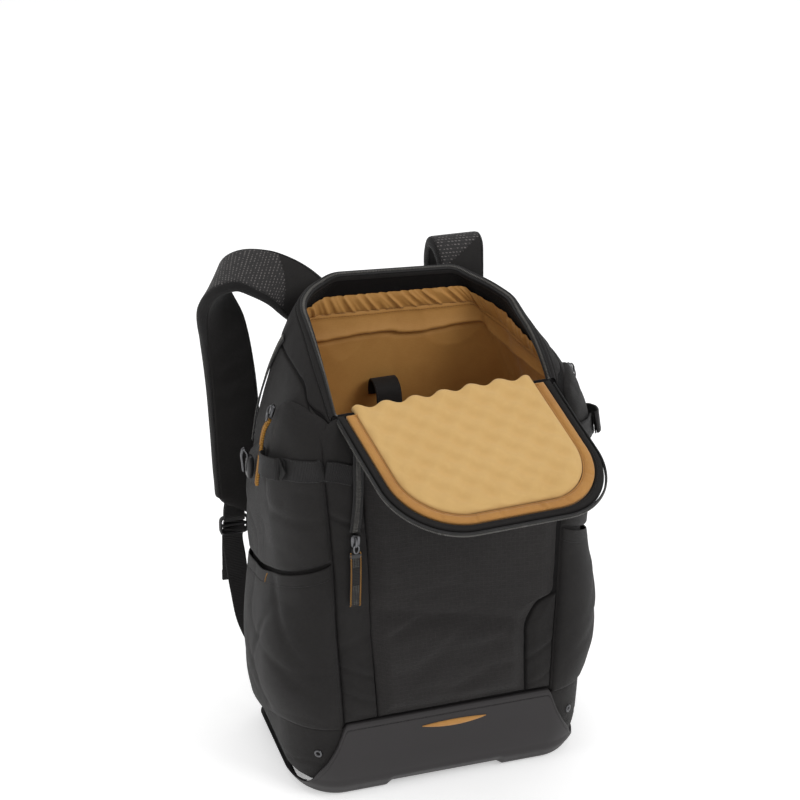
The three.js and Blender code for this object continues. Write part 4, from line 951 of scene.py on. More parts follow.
def rim_frame(shares):
    """Outer and inner edge of the body's rim, and the way up from it."""
    outer, _ = wall(shares, np.ones(len(shares)), 0)
    inner, _ = wall(shares, np.ones(len(shares)), -WALL)
    ahead = wall(shares + 0.01, np.ones(len(shares)), 0)[0] - wall(shares - 0.01, np.ones(len(shares)), 0)[0]
    up = unit(np.cross(inner - outer, ahead))
    return outer, inner, np.where(up[:, 2:] < 0, -up, up)


def flange():
    """The narrow tape between the yoke and the zip, folded over the rim."""
    shares = np.linspace(0.306, 1.694, 420)
    outer, inner, up = rim_frame(shares)
    rows = []
    for t, out in ((0.9905, -0.9), (0.9912, 0.3), (0.993, 0.9), (0.9955, 1.1), (0.998, 1.0)):
        rows.append(wall(shares, np.full(len(shares), t), out)[0])
    for t, lift in (
        (0.0, 0.6), (0.08, 1.0), (0.2, 1.2), (0.34, 1.2), (0.5, 1.1), (0.7, 1.0), (0.9, 0.6), (1.0, -0.4)
    ):
        rows.append(outer * (1 - t) + inner * t + up * lift)
    rows.append(wall(shares, np.full(len(shares), 0.994), -WALL - 0.2)[0])
    grid = np.array(rows)
    grid = grid + 0.18 * noise(grid, 6, 3)[..., None] * up[None]
    build = Build()
    build.grid(grid, pick=0)
    stitches(build, grid[2], wall(shares, np.full(len(shares), 0.993), 0)[1], lift=0.1, pick=1)
    made = build.made("mouth_flange", [BLACK, BLACK_THREAD], slot="black_cloth")


flange()


def zip_band(name, path, facing, wide, node, coil_lift=0.75, tape_thick=0.8, pitch=1.55, side_by_side=False,
             size=(1.75, 0.52, 0.85), aside=0.0):
    """A zip: a tape each side of its coil, the coil's loops, and the two lines of stitches along the tape."""
    build = Build()
    sweep(build, path, facing, ribbon(wide, tape_thick, count=3), pick=0)
    asides = (-0.95, 0.95) if side_by_side else (aside,)
    # The coil's loops carry the grey painted highlight of their material.
    for k, a in enumerate(asides):
        row_of(
            build, path, facing, pitch, size, lift=coil_lift, aside=a, pick=1,
            turn=0.25 if k == 0 else -0.25
        )
    edge_stitches(build, path, facing, wide / 2 - 0.7, lift=tape_thick / 2, pitch=2.2, thick=0.22, pick=2)
    return build.made(name, [TAPE, COIL_PAINTED_GLEAM, BLACK_THREAD], slot="zip_coil", replaces=(node,))


mouth_shares = np.linspace(0.312, 1.688, 520)
outer, inner, rim_up = rim_frame(mouth_shares)
zip_band(
    "mouth_zip_coil", outer * 0.55 + inner * 0.45 + rim_up * 1.75, rim_up, 7.0, "mouth_zip",
    size=(1.5, 0.5, 0.8)
)

# Side pockets: the upper one is closed by a zip, the lower one is an open pouch.
def side_grid(side, column_low, column_high, out_of, height, step=2.3, margin=0.0):
    """Spots of a side pocket between two columns of its table, moved out by out_of."""
    s = np.linspace(POCKET_FRONT, POCKET_REAR, 40)
    width = path_length(wall(side * s, rise_at(side * s, pocket_z(s, 2)), 0)[0])
    u, v = lay(width, step), lay(height, step)
    share = (POCKET_FRONT + (POCKET_REAR - POCKET_FRONT) * u)[None, :] + 0 * v[:, None]
    low, high = pocket_z(share, column_low), pocket_z(share, column_high) - margin
    z = low + (high - low) * v[:, None]
    rise = rise_at(side * share, z)
    base, _ = wall(side * share, rise, 0)
    du, dv = arcs(base)
    t = v[:, None] + 0 * share
    grid, n = wall(side * share, rise, out_of(share, t, base, du, dv))
    return share, t, grid, n


def upper_pocket(side, tag):
    """The closed upper side pocket: rolled edges, a full foot, and folds that slant across it."""
    def out_of(share, t, base, du, dv):
        d = from_edges(du, dv)
        e = rounded(d, 5.5)
        foot = rounded(dv, 7)
        out = -0.8 + (pocket_out(share, t) + 0.8) * e
        out = np.maximum(
            out,
            (-0.8 + 9.6 * foot * np.sin(np.pi * span(share)) ** 0.6) * (dv < 60) * smooth((60 - dv) / 40)
        )
        inside = smooth(d / 16)
        out = out + inside * (1.1 * noise(base, 42, 71 + side) + 0.5 * noise(base, 17, 75))
        out = out - 1.3 * inside * creases(base, 46, 81 + side)
        slant = (dv - 45 - 0.35 * du) / 5
        out = out - 1.0 * inside * bell(slant) * smooth((120 - du) / 60)
        return out + 0.3 * bell(d - 5, 5) * noise(base, 6, 77)

    share, t, grid, n = side_grid(side, 2, 1, out_of, 130)
    build = Build()
    build.grid(grid, flip=side < 0)
    back, _ = wall(
        side * share,
        rise_at(side * share, pocket_z(share, 2) + (pocket_z(share, 1) - pocket_z(share, 2)) * t), -1.0
    )
    build.grid(back, flip=side > 0)
    build.grid(np.stack([border(grid), border(back)]), closed=True, flip=side > 0)
    made = build.made("pocket_upper_" + tag, [BLACK], slot="black_cloth", replaces=("side_pocket_" + tag,))


def pocket_surface(side, share, z, above):
    """A spot on the upper pocket's face, above millimetres off it."""
    share = np.asarray(share, float)
    low, top = pocket_z(share, 2), pocket_z(share, 1)
    return wall(side * share, rise_at(side * share, z), pocket_out(share, (z - low) / (top - low)) + above)


def pouch(side, tag):
    """The open pouch: a sheet with its inner face and a rolled lip."""
    steps = np.array([[0, 0.16], [0.1, 0.5], [0.28, 0.86], [0.5, 1.0], [0.72, 0.86], [0.88, 0.62], [1, 0.44]])

    def out_of(share, t, base, du, dv):
        across = np.sin(np.pi * span(share)) ** 0.5
        out = 2.2 + (20 * pchip(t, steps[:, 0], steps[:, 1]) - 2.2) * across
        d = np.minimum(np.minimum(du, du[:, -1:] - du), dv)
        e = rounded(d, 4.5)
        out = -0.8 + (out + 0.8) * e
        inside = smooth(d / 16) * across
        out = out + inside * (1.5 * noise(base, 50, 91 + side) + 0.7 * noise(base, 20, 95))
        for at_u, at_v, slope, deep, wide, reach in (
            (60, 130, 1.6, 2.0, 6, 50), (95, 95, -1.1, 1.8, 7, 55), (40, 60, 0.8, 1.2, 7, 40),
            (120, 50, 1.9, 1.4, 7, 45)
        ):
            off = ((dv - at_v) - slope * (du - at_u)) / wide / math.hypot(1, slope)
            near = np.exp(-(((du - at_u) ** 2 + (dv - at_v) ** 2) / reach**2))
            out = out - deep * inside * near * bell(off)
        out = out - 1.2 * inside * creases(base, 60, 97 + side)
        hem = bell(dv[-1:] - dv - 11, 1.2)
        return out - 0.5 * hem + 0.3 * bell(d - 5, 5) * noise(base, 6, 99)

    share, t, grid, n = side_grid(side, 3, 2, out_of, 170, margin=3.9)
    build = Build()
    build.grid(grid, flip=side < 0)
    # The pouch's inside face takes the darker copy of the cloth: painted shade inside the pouch.
    inner = grid - n * 1.8
    build.grid(inner, flip=side > 0, pick=1)
    lip = []
    for a in np.linspace(0, np.pi, 7):
        lip.append(
            grid[-1] * (1 + math.cos(a)) / 2 + inner[-1] * (1 - math.cos(a)) / 2
            + np.array([0, 0, 1.6 * math.sin(a)])
        )
    build.grid(np.array(lip), flip=side < 0)
    low_row = np.argmin(np.abs(arcs(grid)[1][-1, 60] - arcs(grid)[1][:, 60] - 11))
    stitches(build, grid[low_row], n[low_row], lift=0.15, pick=2)
    made = build.made(
        "pouch_" + tag, [BLACK, INNER_BLACK_PAINTED_SHADE, BLACK_THREAD], slot="black_cloth",
        replaces=("side_pouch_" + tag,)
    )
    width, height = path_length(grid[len(grid) // 2]) / 1000, path_length(grid[:, grid.shape[1] // 2]) / 1000
    return made, grid, n, (width, height, sheet_area(grid))


pouches = {}
for side, tag in SIDES:
    upper_pocket(side, tag)
    pouches[tag] = pouch(side, tag)

# Lining, its gathered band, the padded sleeve and the strap over the sleeve's mouth.
GATHER_SEAM, GATHER_LOW, GATHER_HIGH = 0.907, 0.909, 0.9575


def lining():
    """The tan cup, with a seam at each corner and a shelf over the sleeve."""
    shares = np.linspace(-1, 1, 441)[:-1]
    rises = np.concatenate([np.linspace(0.05, 0.6, 22), np.linspace(0.61, 0.916, 72)])
    share, rise = np.meshgrid(shares, rises)
    base, _ = wall(share, rise, LINING_OUT)
    a = np.abs(share)
    inward = 0.5 + 0.9 * noise(base, 44, 101) + 0.9 * creases(base, 52, 104) + 0.35 * noise(base, 15, 106)
    for corner in (0.33, 0.79):
        inward = inward + 1.5 * bell(a - corner, 0.012) - 0.8 * bell(a - corner, 0.004)
    rear = smooth((a - 0.52) / 0.12)
    shelf = 0.858 + 0.004 * np.sin(share * 31)
    over = np.clip((rise - shelf) / 0.006, 0, 1)
    inward = inward + rear * (5.4 * over * np.exp(-np.maximum(0, rise - shelf - 0.006) / 0.022))
    inward = inward - rear * 1.0 * bell(rise - shelf + 0.004, 0.004)
    inward = inward + 0.9 * bell(rise - GATHER_LOW, 0.004)
    grid, _ = wall(share, rise, LINING_OUT - 0.2 - np.maximum(0, inward))
    build = Build()
    build.grid(grid, closed=True, flip=True)
    build.cap(grid[0])
    ring = np.argmin(np.abs(rises - GATHER_SEAM))
    stitches(
        build, grid[ring], wall(shares, np.full(len(shares), GATHER_SEAM), 0)[1] * -1, lift=0.2, pitch=3,
        pick=1, closed=True
    )
    made = build.made("lining_cup", [TAN, TAN_THREAD], slot="tan_cloth", replaces=("lining",))


def gathers():
    """The band below the mouth, drawn together by an elastic in its upper edge."""
    count = 1240
    around = np.linspace(0.318, 1.682, count)
    rises = np.linspace(GATHER_LOW, GATHER_HIGH, 18)
    share, rise = np.meshgrid(around, rises)
    base, _ = wall(share, rise, LINING_OUT)
    du, _ = arcs(base)
    t = (rise - rises[0]) / (rises[-1] - rises[0])
    x = du + 9 * t * np.sin(du / 47) + 3.0 * noise(base, 30, 111)
    wave = 0.0
    for pitch, deep, phase in ((13.0, 1.5, 0.0), (8.3, 0.9, 1.7), (5.1, 0.5, 0.6)):
        wave = wave + deep * (
            1 - np.abs(np.sin(np.pi * x / pitch + phase + 0.7 * noise(base, 40, int(pitch))))
        )
    size = smooth(t / 0.22) * (1 - 0.45 * smooth((t - 0.8) / 0.2))
    grid, n = wall(
        share, rise, LINING_OUT - 0.5 - 1.6 * np.sin(np.pi * np.clip(t, 0, 1)) - 1.25 * wave * size
    )
    build = Build()
    build.grid(grid, flip=True)
    stitches(build, grid[2], -n[2], lift=0.2, pitch=2.8, pick=1)
    made = build.made("lining_gathers", [TAN, TAN_THREAD], slot="tan_cloth", replaces=("lining_band",))


lining()
gathers()
SLEEVE_TOP, SLEEVE_BOTTOM, SLEEVE_GAP = BODY_HEIGHT * 0.7, BODY_HEIGHT * 0.085, 26.0
LINING_BACK = BACK_Y - WALL - 1.6 - 1.6


def sleeve():
    """The padded sleeve with three stitched channels, its bound top, and a folded gusset each side."""
    y = LINING_BACK - SLEEVE_GAP
    v = lay(SLEEVE_TOP - SLEEVE_BOTTOM, 4.4)
    u = lay(230, 4.4)
    z = SLEEVE_BOTTOM + (SLEEVE_TOP - SLEEVE_BOTTOM) * v
    half = pchip(v, [0, 0.1, 0.92, 1], [0.8, 0.82, 0.78, 0.73]) * HALF
    x = half[:, None] * (2 * u - 1)
    d = np.minimum(half[:, None] - np.abs(x), np.minimum(z - SLEEVE_BOTTOM, SLEEVE_TOP - z)[:, None])
    e = rounded(d, 4)
    channel = 0.0
    for at in (-58.0, 0.0, 58.0):
        channel = channel + 1.1 * bell(x - at, 2.2)
    flat = np.stack([x, 0 * x, np.broadcast_to(z[:, None], x.shape)], -1)
    soft = 0.5 * noise(flat, 40, 121) + 0.5 * creases(flat, 50, 122) - channel
    build = Build()
    for sign in (-1, 1):
        grid = flat.copy()
        grid[..., 1] = y + sign * (0.3 + 2.4 * e + 0.6 * soft * smooth(d / 12))
        build.grid(grid, flip=sign > 0)
    top = np.stack([x[-1], np.full(x.shape[1], y), np.full(x.shape[1], SLEEVE_TOP - 3.5)], -1)
    a = np.linspace(0, np.pi, 9)
    arch = np.concatenate([[(-3.1, -5.0)], np.stack([-3.1 * np.cos(a), 3.2 * np.sin(a)], -1), [(3.1, -5.0)]])
    rows = [top + np.array([0, p, q]) for p, q in arch]
    build.grid(np.array(rows), pick=1)
    for sign in (-1, 1):
        stitches(build, top + np.array([0, sign * 3.1, -3.6]), (0, sign, 0), lift=0.15, pitch=3, pick=2)
    for side in (-1, 1):
        gy, gz = np.meshgrid(
            np.linspace(y + 2, LINING_BACK - 0.4, 12),
            np.linspace(SLEEVE_BOTTOM + 2, SLEEVE_BOTTOM + 2 + 0.9 * (SLEEVE_TOP - SLEEVE_BOTTOM), 60)
        )
        fold = 2.2 * np.sin(np.pi * (gy - y) / SLEEVE_GAP) + 0.6 * noise(
            np.stack([gy * 0, gy, gz], -1), 18, 123
        )
        for off in (-0.7, 0.7):
            build.grid(np.stack([side * (HALF * 0.77 - fold + off), gy, gz], -1), flip=(side * off) < 0)
    made = build.made("sleeve", [TAN, TAN_EDGE, TAN_THREAD], slot="tan_cloth", replaces=("laptop_sleeve",))


def retainer():
    """The short strap from the back of the lining over the sleeve's mouth."""
    front = LINING_BACK - SLEEVE_GAP - 2.5 - 1.6
    mid = (LINING_BACK + front) / 2
    yz = [
        (LINING_BACK - 1.2, 12), (LINING_BACK - 1.4, 24), (LINING_BACK - 6, 30), (mid, 31), (front + 5, 26),
        (front + 1, 16), (front, -4), (front, -26)
    ]
    path = curve([(-14.0, y, SLEEVE_TOP + z) for y, z in yz], 90)
    facing = unit(path - np.array([-14.0, mid, SLEEVE_TOP]))
    build = Build()
    sweep(build, path, facing, ribbon(26, 2.0, count=11), puff=lambda r: 0.18 * noise(r, 5, 5))
    edge_stitches(build, path, facing, 11.4, lift=1.0, pitch=3, pick=1)
    made = build.made("retainer", [BLACK, BLACK_THREAD], slot="black_cloth", replaces=("laptop_retainer",))


sleeve()
retainer()

# The flap: s runs along its hinge, t away from the body, h up from its lined side.
FLAP_LENGTH, FLAP_WIDTH, FLAP_DEPTH, FLAP_SLOPE, FLAP_SKEW = 146.0, 208.0, 15.0, 29.0, 0.2
FLAP_CORNER = FLAP_LENGTH * 0.42
FLAP_NEAR, FLAP_RIM, PAD_INSET, BUMP_PITCH = 1.2, 7.6, 7.6 + 9.5, 28
CLOSE_SPOTS = 68
hinge_left, hinge_right = (wall_spot(share, 1.0, 0.0)[0] for share in (-SEAM, SEAM))
HINGE = (hinge_left + hinge_right) / 2
ALONG = unit(hinge_right - hinge_left)
slope = math.radians(FLAP_SLOPE)
down = np.array([0, -math.cos(slope), -math.sin(slope)])
AWAY = unit(down - ALONG * down.dot(ALONG))
FLAP_UP = unit(np.cross(AWAY, ALONG))


def flap_point(s, t, h):
    """A point of the flap in the body's frame."""
    s, t, h = np.broadcast_arrays(s, t, h)
    return HINGE + ALONG * (s + FLAP_SKEW * t)[..., None] + AWAY * t[..., None] + FLAP_UP * h[..., None]


def flap_half(t, inset):
    """Half the flap's width at t, inset from its outline."""
    radius = FLAP_CORNER - inset * 0.6
    over = np.clip(t - (FLAP_LENGTH - inset - radius), 0, radius)
    return FLAP_WIDTH / 2 - inset - radius + np.sqrt(np.maximum(0, radius * radius - over * over))


def flap_outline(inset, near=FLAP_NEAR):
    """(s, t) spots round the flap: left side, far side, right side, then back along the hinge."""
    radius = FLAP_CORNER - inset * 0.6
    straight = FLAP_LENGTH - inset - radius
    ts = np.concatenate(
        [np.linspace(near, straight, 34)[:-1], straight + radius * np.sin(np.linspace(0, np.pi / 2, 46))]
    )
    left = np.stack([-flap_half(ts, inset), ts], -1)
    right = left[::-1] * [-1, 1]
    flat = right[0, 0]
    far = np.stack([np.linspace(-flat, flat, 44)[1:-1], np.full(42, FLAP_LENGTH - inset)], -1)
    close = np.stack(
        [np.linspace(right[-1, 0], left[0, 0], CLOSE_SPOTS + 2)[1:-1], np.full(CLOSE_SPOTS, near)], -1
    )
    return np.concatenate([left, far, right, close])


def flap_depth(t):
    """Thickness of the flap, thin at its hinge."""
    return 4 + (FLAP_DEPTH - 4) * smooth(t / (FLAP_LENGTH * 0.3))


def flap_ring(inset, h, near=FLAP_NEAR):
    """The flap's outline, inset and raised by h, a number or a function of t."""
    st = flap_outline(inset, near)
    return flap_point(st[:, 0], st[:, 1], h(st[:, 1]) if callable(h) else np.full(len(st), float(h)))


def flap():
    """The flap's black shell with its rolled rim, and the tan edge puckered along its stitches."""
    build = Build()
    rings = []
    outside = (
        (96, -1.0), (80, -1.0), (60, -1.0), (40, -1.0), (26, -1.0), (18, -0.99), (12, -0.97), (8, -0.92),
        (5, -0.85), (3, -0.76), (1.4, -0.64), (0.5, -0.52), (0.1, -0.42), (0, -0.3), (0.1, -0.18),
        (0.5, -0.08)
    )
    for inset, share in outside:
        rings.append(flap_ring(inset, lambda t, k=share: flap_depth(t) * k))
    rings.append(flap_ring(1.2, lambda t: flap_depth(t) * -0.02, 1.3))
    for inset, h, near in (
        (2.0, 0.25, 1.6), (3.5, 0.4, 1.8), (5.2, 0.2, 2.0), (6.4, -0.3, 2.2), (7.0, -1.6, 2.4),
        (7.1, -3.8, 2.6)
    ):
        rings.append(flap_ring(inset, h, near))
    grid = np.array(rings)
    grid = grid + FLAP_UP * (
        0.5 * noise(grid, 30, 131) + 0.25 * noise(grid, 9, 132)
    )[..., None] * (np.arange(len(rings)) < 14)[:, None, None]
    build.grid(grid, closed=True, flip=True)
    build.put(grid[0], [tuple(range(grid.shape[1]))])
    stitches(build, grid[19][5:165], FLAP_UP, lift=0.2, pitch=2.6, pick=1)
    made = build.made("flap_body", [BLACK, BLACK_THREAD], slot="black_cloth", replaces=("flap_shell",))

    build = Build()
    rings = []
    profile = [
        (0, -3.5, 3.0), (0, 0.2, 3.0), (0.25, 1.0, 3.1), (0.9, 1.7, 3.3), (2.0, 2.25, 3.6), (3.6, 2.5, 4.0),
        (5.2, 2.45, 4.4), (6.6, 2.0, 4.8), (7.4, 1.2, 5.1), (7.8, 0.9, 5.2), (8.2, 1.25, 5.3),
        (8.8, 1.1, 5.4), (9.0, 0.4, 5.5), (9.0, -3.5, 5.5)
    ]
    for inset, h, near in profile:
        rings.append(flap_ring(FLAP_RIM + inset, h, near))
    grid = np.array(rings)
    along = np.concatenate([[0], np.cumsum(np.linalg.norm(np.diff(grid[4], axis=0), axis=1))])
    pucker = 0.35 * np.sin(along / 1.05 + 2.2 * np.sin(along / 13)) + 0.5 * noise(grid[4], 7, 135)
    pleat = np.zeros_like(along)
    for at, deep in (
        (95, 1.0), (140, 1.3), (172, 1.5), (196, 1.1), (236, 1.6), (262, 1.2), (301, 1.4), (338, 1.0)
    ):
        pleat = pleat - deep * bell(along - at, 1.3) + 0.55 * deep * bell(along - at - 3.0, 2.0)
    weight = np.array([0, 0.1, 0.3, 0.6, 0.9, 1, 1, 0.8, 0.4, 0.2, 0.2, 0.1, 0, 0])[:, None]
    grid = grid + FLAP_UP * (weight * (0.45 * pucker + pleat)[None])[..., None]
    build.grid(grid, closed=True, flip=True)
    stitches(build, grid[9][2:170], FLAP_UP, lift=0.15, pitch=2.4, thick=0.28, pick=1)
    made = build.made("flap_binding", [TAN_EDGE, TAN_THREAD], slot="tan_cloth", replaces=("flap_edge",))


def flap_pad():
    """Foam with rows of staggered bumps under brushed cloth."""
    near, far = -5.5, FLAP_LENGTH - PAD_INSET - 0.6
    v, u = lay(far - near, 1.9), lay(FLAP_WIDTH - 2 * PAD_INSET, 1.9)
    t = near + (far - near) * v
    half = flap_half(t, PAD_INSET)
    s = half[:, None] * (2 * u - 1)
    scallop = 2.6 * np.cos(2 * np.pi * s / BUMP_PITCH) + 1.2 * np.sin(s / 31)
    t = t[:, None] - scallop * (1 - v[:, None]) ** 3 * smooth((half[:, None] - np.abs(s)) / 12)
    side_gap = half[:, None] - np.abs(s)
    d = np.minimum(side_gap, far - t)
    radius = FLAP_CORNER - PAD_INSET * 0.6
    over = np.maximum(t - (FLAP_LENGTH - PAD_INSET - radius), 0)
    arc = radius - np.hypot(np.maximum(np.abs(s) - (FLAP_WIDTH / 2 - PAD_INSET - radius), 0), over)
    d = np.where(over > 0, np.minimum(d, np.maximum(arc, 0)), d)
    e = rounded(d, 6.0)
    e_near = rounded(t - near + scallop, 5)
    wave = np.cos(2 * np.pi * s / BUMP_PITCH) * np.cos(2 * np.pi * t / BUMP_PITCH)
    top = (0.4 + 4.6 * e) * e_near + 2.7 * wave * np.minimum(smooth(d / 9), smooth((t - near + scallop) / 4))
    flat = np.stack([s, t, 0 * s], -1)
    top = top + 0.15 * noise(flat, 9, 141) + 0.3 * noise(flat, 30, 142)
    upper = flap_point(s, t, top)
    lower = flap_point(s, t, np.full(s.shape, -3.4))
    build = Build()
    build.grid(upper, flip=False)
    build.grid(lower, flip=True)
    build.grid(np.stack([border(upper), border(lower)]), closed=True)
    made = build.made("flap_foam", [PAD], slot="pad_cloth", replaces=("flap_pad",))


def flap_zip():
    """The flap's half of the zip, on the outside of its rim."""
    path = flap_ring(-1.4, lambda t: -1.6 - 1.6 * smooth(t / 50), 5.2)
    path = path[:-CLOSE_SPOTS]
    facing = unit(np.gradient(path, axis=0))
    facing = unit(np.cross(FLAP_UP, facing))
    middle = flap_point(0, FLAP_LENGTH * 0.4, 0)
    facing = np.where(((path - middle) * facing).sum(-1, keepdims=True) < 0, -facing, facing)
    zip_band(
        "flap_zip_coil", path, facing, 6.0, "flap_zip", size=(1.5, 0.5, 0.95), aside=1.1, tape_thick=1.2,
        coil_lift=0.8
    )


flap()
flap_pad()
flap_zip()


# Sliders, pulls, webbing and hooks.
def slider(build, at, upward, facing, size=1.0, picks=(0, 0)):
    """Body with side walls and nose, the bridge over it, and the ring of its puller."""
    face = unit(np.asarray(facing, float))
    across = unit(np.cross(upward, face))
    up = np.cross(face, across)
    at = np.asarray(at, float)

    def spot(a, b, c):
        return at + across * a * size + face * b * size + up * c * size

    rows = [
        (-6.2, 2.0, 0.9), (-5.6, 3.0, 1.5), (-4, 3.9, 1.9), (0, 4.3, 2.1), (3.5, 4.3, 2.1), (5.4, 3.3, 1.8),
        (6.2, 1.9, 1.2)
    ]
    build.loft(np.array([[spot(w * p, t * q, v) for p, q in boxy(20, 0.55)] for v, w, t in rows]), picks[0])
    arch = curve(
        [
            spot(0, 1.4, -4.6), spot(0, 3.4, -4.2), spot(0, 4.3, -1.5), spot(0, 4.3, 1.8),
            spot(0, 3.2, 4.2), spot(0, 1.4, 4.6)
        ],
        22
    )
    sweep(build, arch, across, ribbon(1.5 * size, 2.4 * size, count=0), pick=picks[0])
    ring = [
        spot(2.3 * math.cos(b), 3.4 + 0.4 * math.sin(b), -6.4 + 4.2 * math.sin(b))
        for b in np.linspace(0, 2 * np.pi, 26, endpoint=False)
    ]
    sweep(build, np.array(ring), face, round_section(0.85 * size, 8), closed=True, pick=picks[1])


FRONT_ZIP = [(-0.222, 0.925), (-0.226, 0.86), (-0.234, 0.78), (-0.245, 0.72)]
SLIDER_RISE, SLIDER_OUT, FRONT_PULL, SIDE_PULL = 0.72 - 0.022, 8.6, 63, 66


def front_zip():
    """The front pocket's zip, its slider, and the pull with gold edges."""
    zip_spots = curve(FRONT_ZIP, 90)
    front_path, front_n = wall(zip_spots[:, 0], zip_spots[:, 1], 7.4)
    zip_band(
        "front_zip_coil", front_path, front_n, 10.0, "front_zip", side_by_side=True, tape_thick=1.4,
        coil_lift=0.9
    )
    at, n = wall_spot(-0.2465, SLIDER_RISE, SLIDER_OUT)
    build = Build()
    slider(build, at, (0, 0, 1), n, 1.08)
    build.made("front_slider", [GUNMETAL], slot="gunmetal", replaces=("front_zip_slider",))

    t = np.linspace(0, 1, 40)
    pull_rise = SLIDER_RISE - 0.0155 - t * FRONT_PULL / BODY_HEIGHT / 0.82
    front_pull, pull_n = wall(-0.2475 - 0.008 * t, pull_rise, SLIDER_OUT - 0.6 * t + 0.4 * np.sin(t * 5))
    build = Build()
    sweep(
        build, front_pull, pull_n, ribbon(11, 2.5, count=7),
        wide=np.interp(t, [0, 0.06, 0.14, 1], [0.6, 0.8, 1, 1]), pick=0
    )
    for a in (-4.6, 4.6):
        row_of(
            build, front_pull[3:], pull_n[3:], 1.5, (0.62, 0.62, 0.42), lift=1.3, aside=a, pick=1, turn=0.7,
            zigzag=0.25
        )
    # These rows of dots use the coil's material, whose grey is a painted highlight.
    for a in (-2.4, -0.8, 0.8, 2.4):
        row_of(build, front_pull[5:14], pull_n[5:14], 1.6, (0.42, 0.5, 0.4), lift=1.25, aside=a, pick=2)
        row_of(build, front_pull[25:39], pull_n[25:39], 1.6, (0.42, 0.5, 0.4), lift=1.25, aside=a, pick=2)
    sweep(build, front_pull[4:8], pull_n[4:8], ribbon(11.8, 3.4, count=5), pick=3)
    build.made(
        "front_pull", [WEBBING, GOLD_THREAD, COIL_PAINTED_GLEAM, PLASTIC], slot="black_webbing",
        replaces=("front_zip_pull",)
    )


front_zip()
BAND = np.array(
    [
        [0.565, 0.708, 0], [0.54, 0.712, 0], [0.515, 0.716, 5], [0.48, 0.725, 9], [0.445, 0.733, 7.5],
        [0.428, 0.736, 0], [0.4, 0.741, 0], [0.36, 0.747, 0], [0.325, 0.751, 0], [0.306, 0.754, -3]
    ]
)
PULL_SHARE = 0.548


def side_pull(side, tag):
    """The upper pocket's slider and its gold pull."""
    zip_z = float(pocket_z(PULL_SHARE, 1)) - 9
    spot, n = pocket_surface(side, np.array([PULL_SHARE]), zip_z, 4.2)
    n = n[0]
    build = Build()
    slider(build, spot[0], (0, 0, 1), n, 1.0)
    build.made("side_slide_" + tag, [GUNMETAL], slot="gunmetal", replaces=("side_slider_" + tag,))
    t = np.linspace(0, 1, 44)
    pull, _ = pocket_surface(
        side, PULL_SHARE + 0.004 * t, zip_z - 8 - t * SIDE_PULL,
        3.2 + 1.8 * smooth(t * 6) + 0.8 * np.sin(t * 7)
    )
    build = Build()
    sweep(
        build, pull, n, ribbon(6.6, 3.0, count=5), wide=np.interp(t, [0, 0.05, 0.12, 1], [0.5, 0.8, 1, 1]),
        pick=0
    )
    for a in (-2.5, -0.85, 0.85, 2.5):
        row_of(build, pull[2:], n, 1.7, (0.62, 0.62, 0.5), lift=1.4, aside=a, pick=1, turn=0.6, zigzag=0.15)
    for a in (-0.9, 0.9):
        row_of(build, pull[17:25], n, 1.6, (0.5, 0.6, 0.5), lift=1.75, aside=a, pick=2)
    build.made(
        "side_pull_tab_" + tag, [GOLD, GOLD_THREAD, BLACK_THREAD], slot="gold_webbing",
        replaces=("side_pull_" + tag,)
    )


def lash_band(side, tag):
    """The webbing across the pocket, with its free loop and its crossed tacks."""
    spots = curve(BAND * [100, 100, 1], 150) / [100, 100, 1]
    path, face = pocket_surface(side, spots[:, 0], spots[:, 1] * BODY_HEIGHT, 1.4 + spots[:, 2])
    build = Build()
    sweep(build, path, face, ribbon(21, 1.9, count=9), pick=0)
    edge_stitches(build, path, face, 9.3, lift=0.95, pitch=3, pick=1)
    for k in (8, 13, 86, 91):
        line = np.stack([path[k] + np.array([0, 0, z]) for z in np.linspace(-9, 9, 12)])
        row_of(build, line, face[k], 1.1, (0.7, 0.42, 0.3), lift=1.0, pick=1, zigzag=0.5)
    if side < 0:
        along = curve([(-0.301, 0.882), (-0.28, 0.878), (-0.255, 0.868), (-0.233, 0.858)], 30)
        line, face2 = wall(along[:, 0], along[:, 1], 4.9)
        sweep(build, line, face2, ribbon(20, 1.6, count=7), pick=0)
        edge_stitches(build, line, face2, 8.9, lift=0.8, pitch=3, pick=1)
    build.made(
        "lash_band_" + tag, [WEBBING, BLACK_THREAD], slot="black_webbing", replaces=("side_webbing_" + tag,)
    )


def side_catch(side, tag):
    """A moulded hook on the pocket's rear part, with its metal prong."""
    hook_z = BODY_HEIGHT * 0.645
    at, n = pocket_surface(side, np.array([0.675]), hook_z, 4.2)
    at, n = at[0], n[0]
    across = unit(np.cross((0, 0, 1), n))
    up = np.cross(n, across)
    build = Build()
    rows = [
        (-11.5, 4.2, 1.6), (-10.4, 5.6, 2.6), (-7, 6.3, 3.2), (0, 6.6, 3.6), (6, 6.0, 3.3), (9.6, 4.6, 2.6),
        (11.2, 3.0, 1.6)
    ]
    build.loft(
        np.array([[at + across * w * p + n * h * q + up * v for p, q in boxy(24, 0.5)] for v, w, h in rows])
    )
    prong = curve(
        [
            at + across * side * 1.0 + up * 9 + n * 2.5, at + across * side * 1.5 + up * 14.5 + n * 4.0,
            at + across * side * 3 + up * 16.5 + n * 6.5, at + across * side * 3.6 + up * 12 + n * 7.6,
            at + across * side * 3.6 + up * 2 + n * 6.4, at + across * side * 3.4 - up * 7 + n * 5.0
        ],
        40
    )
    sweep(build, prong, across, ribbon(2.2, 4.4, count=1), pick=1)
    build.made("side_catch_" + tag, [PLASTIC, GUNMETAL], slot="black_plastic", replaces=("side_hook_" + tag,))


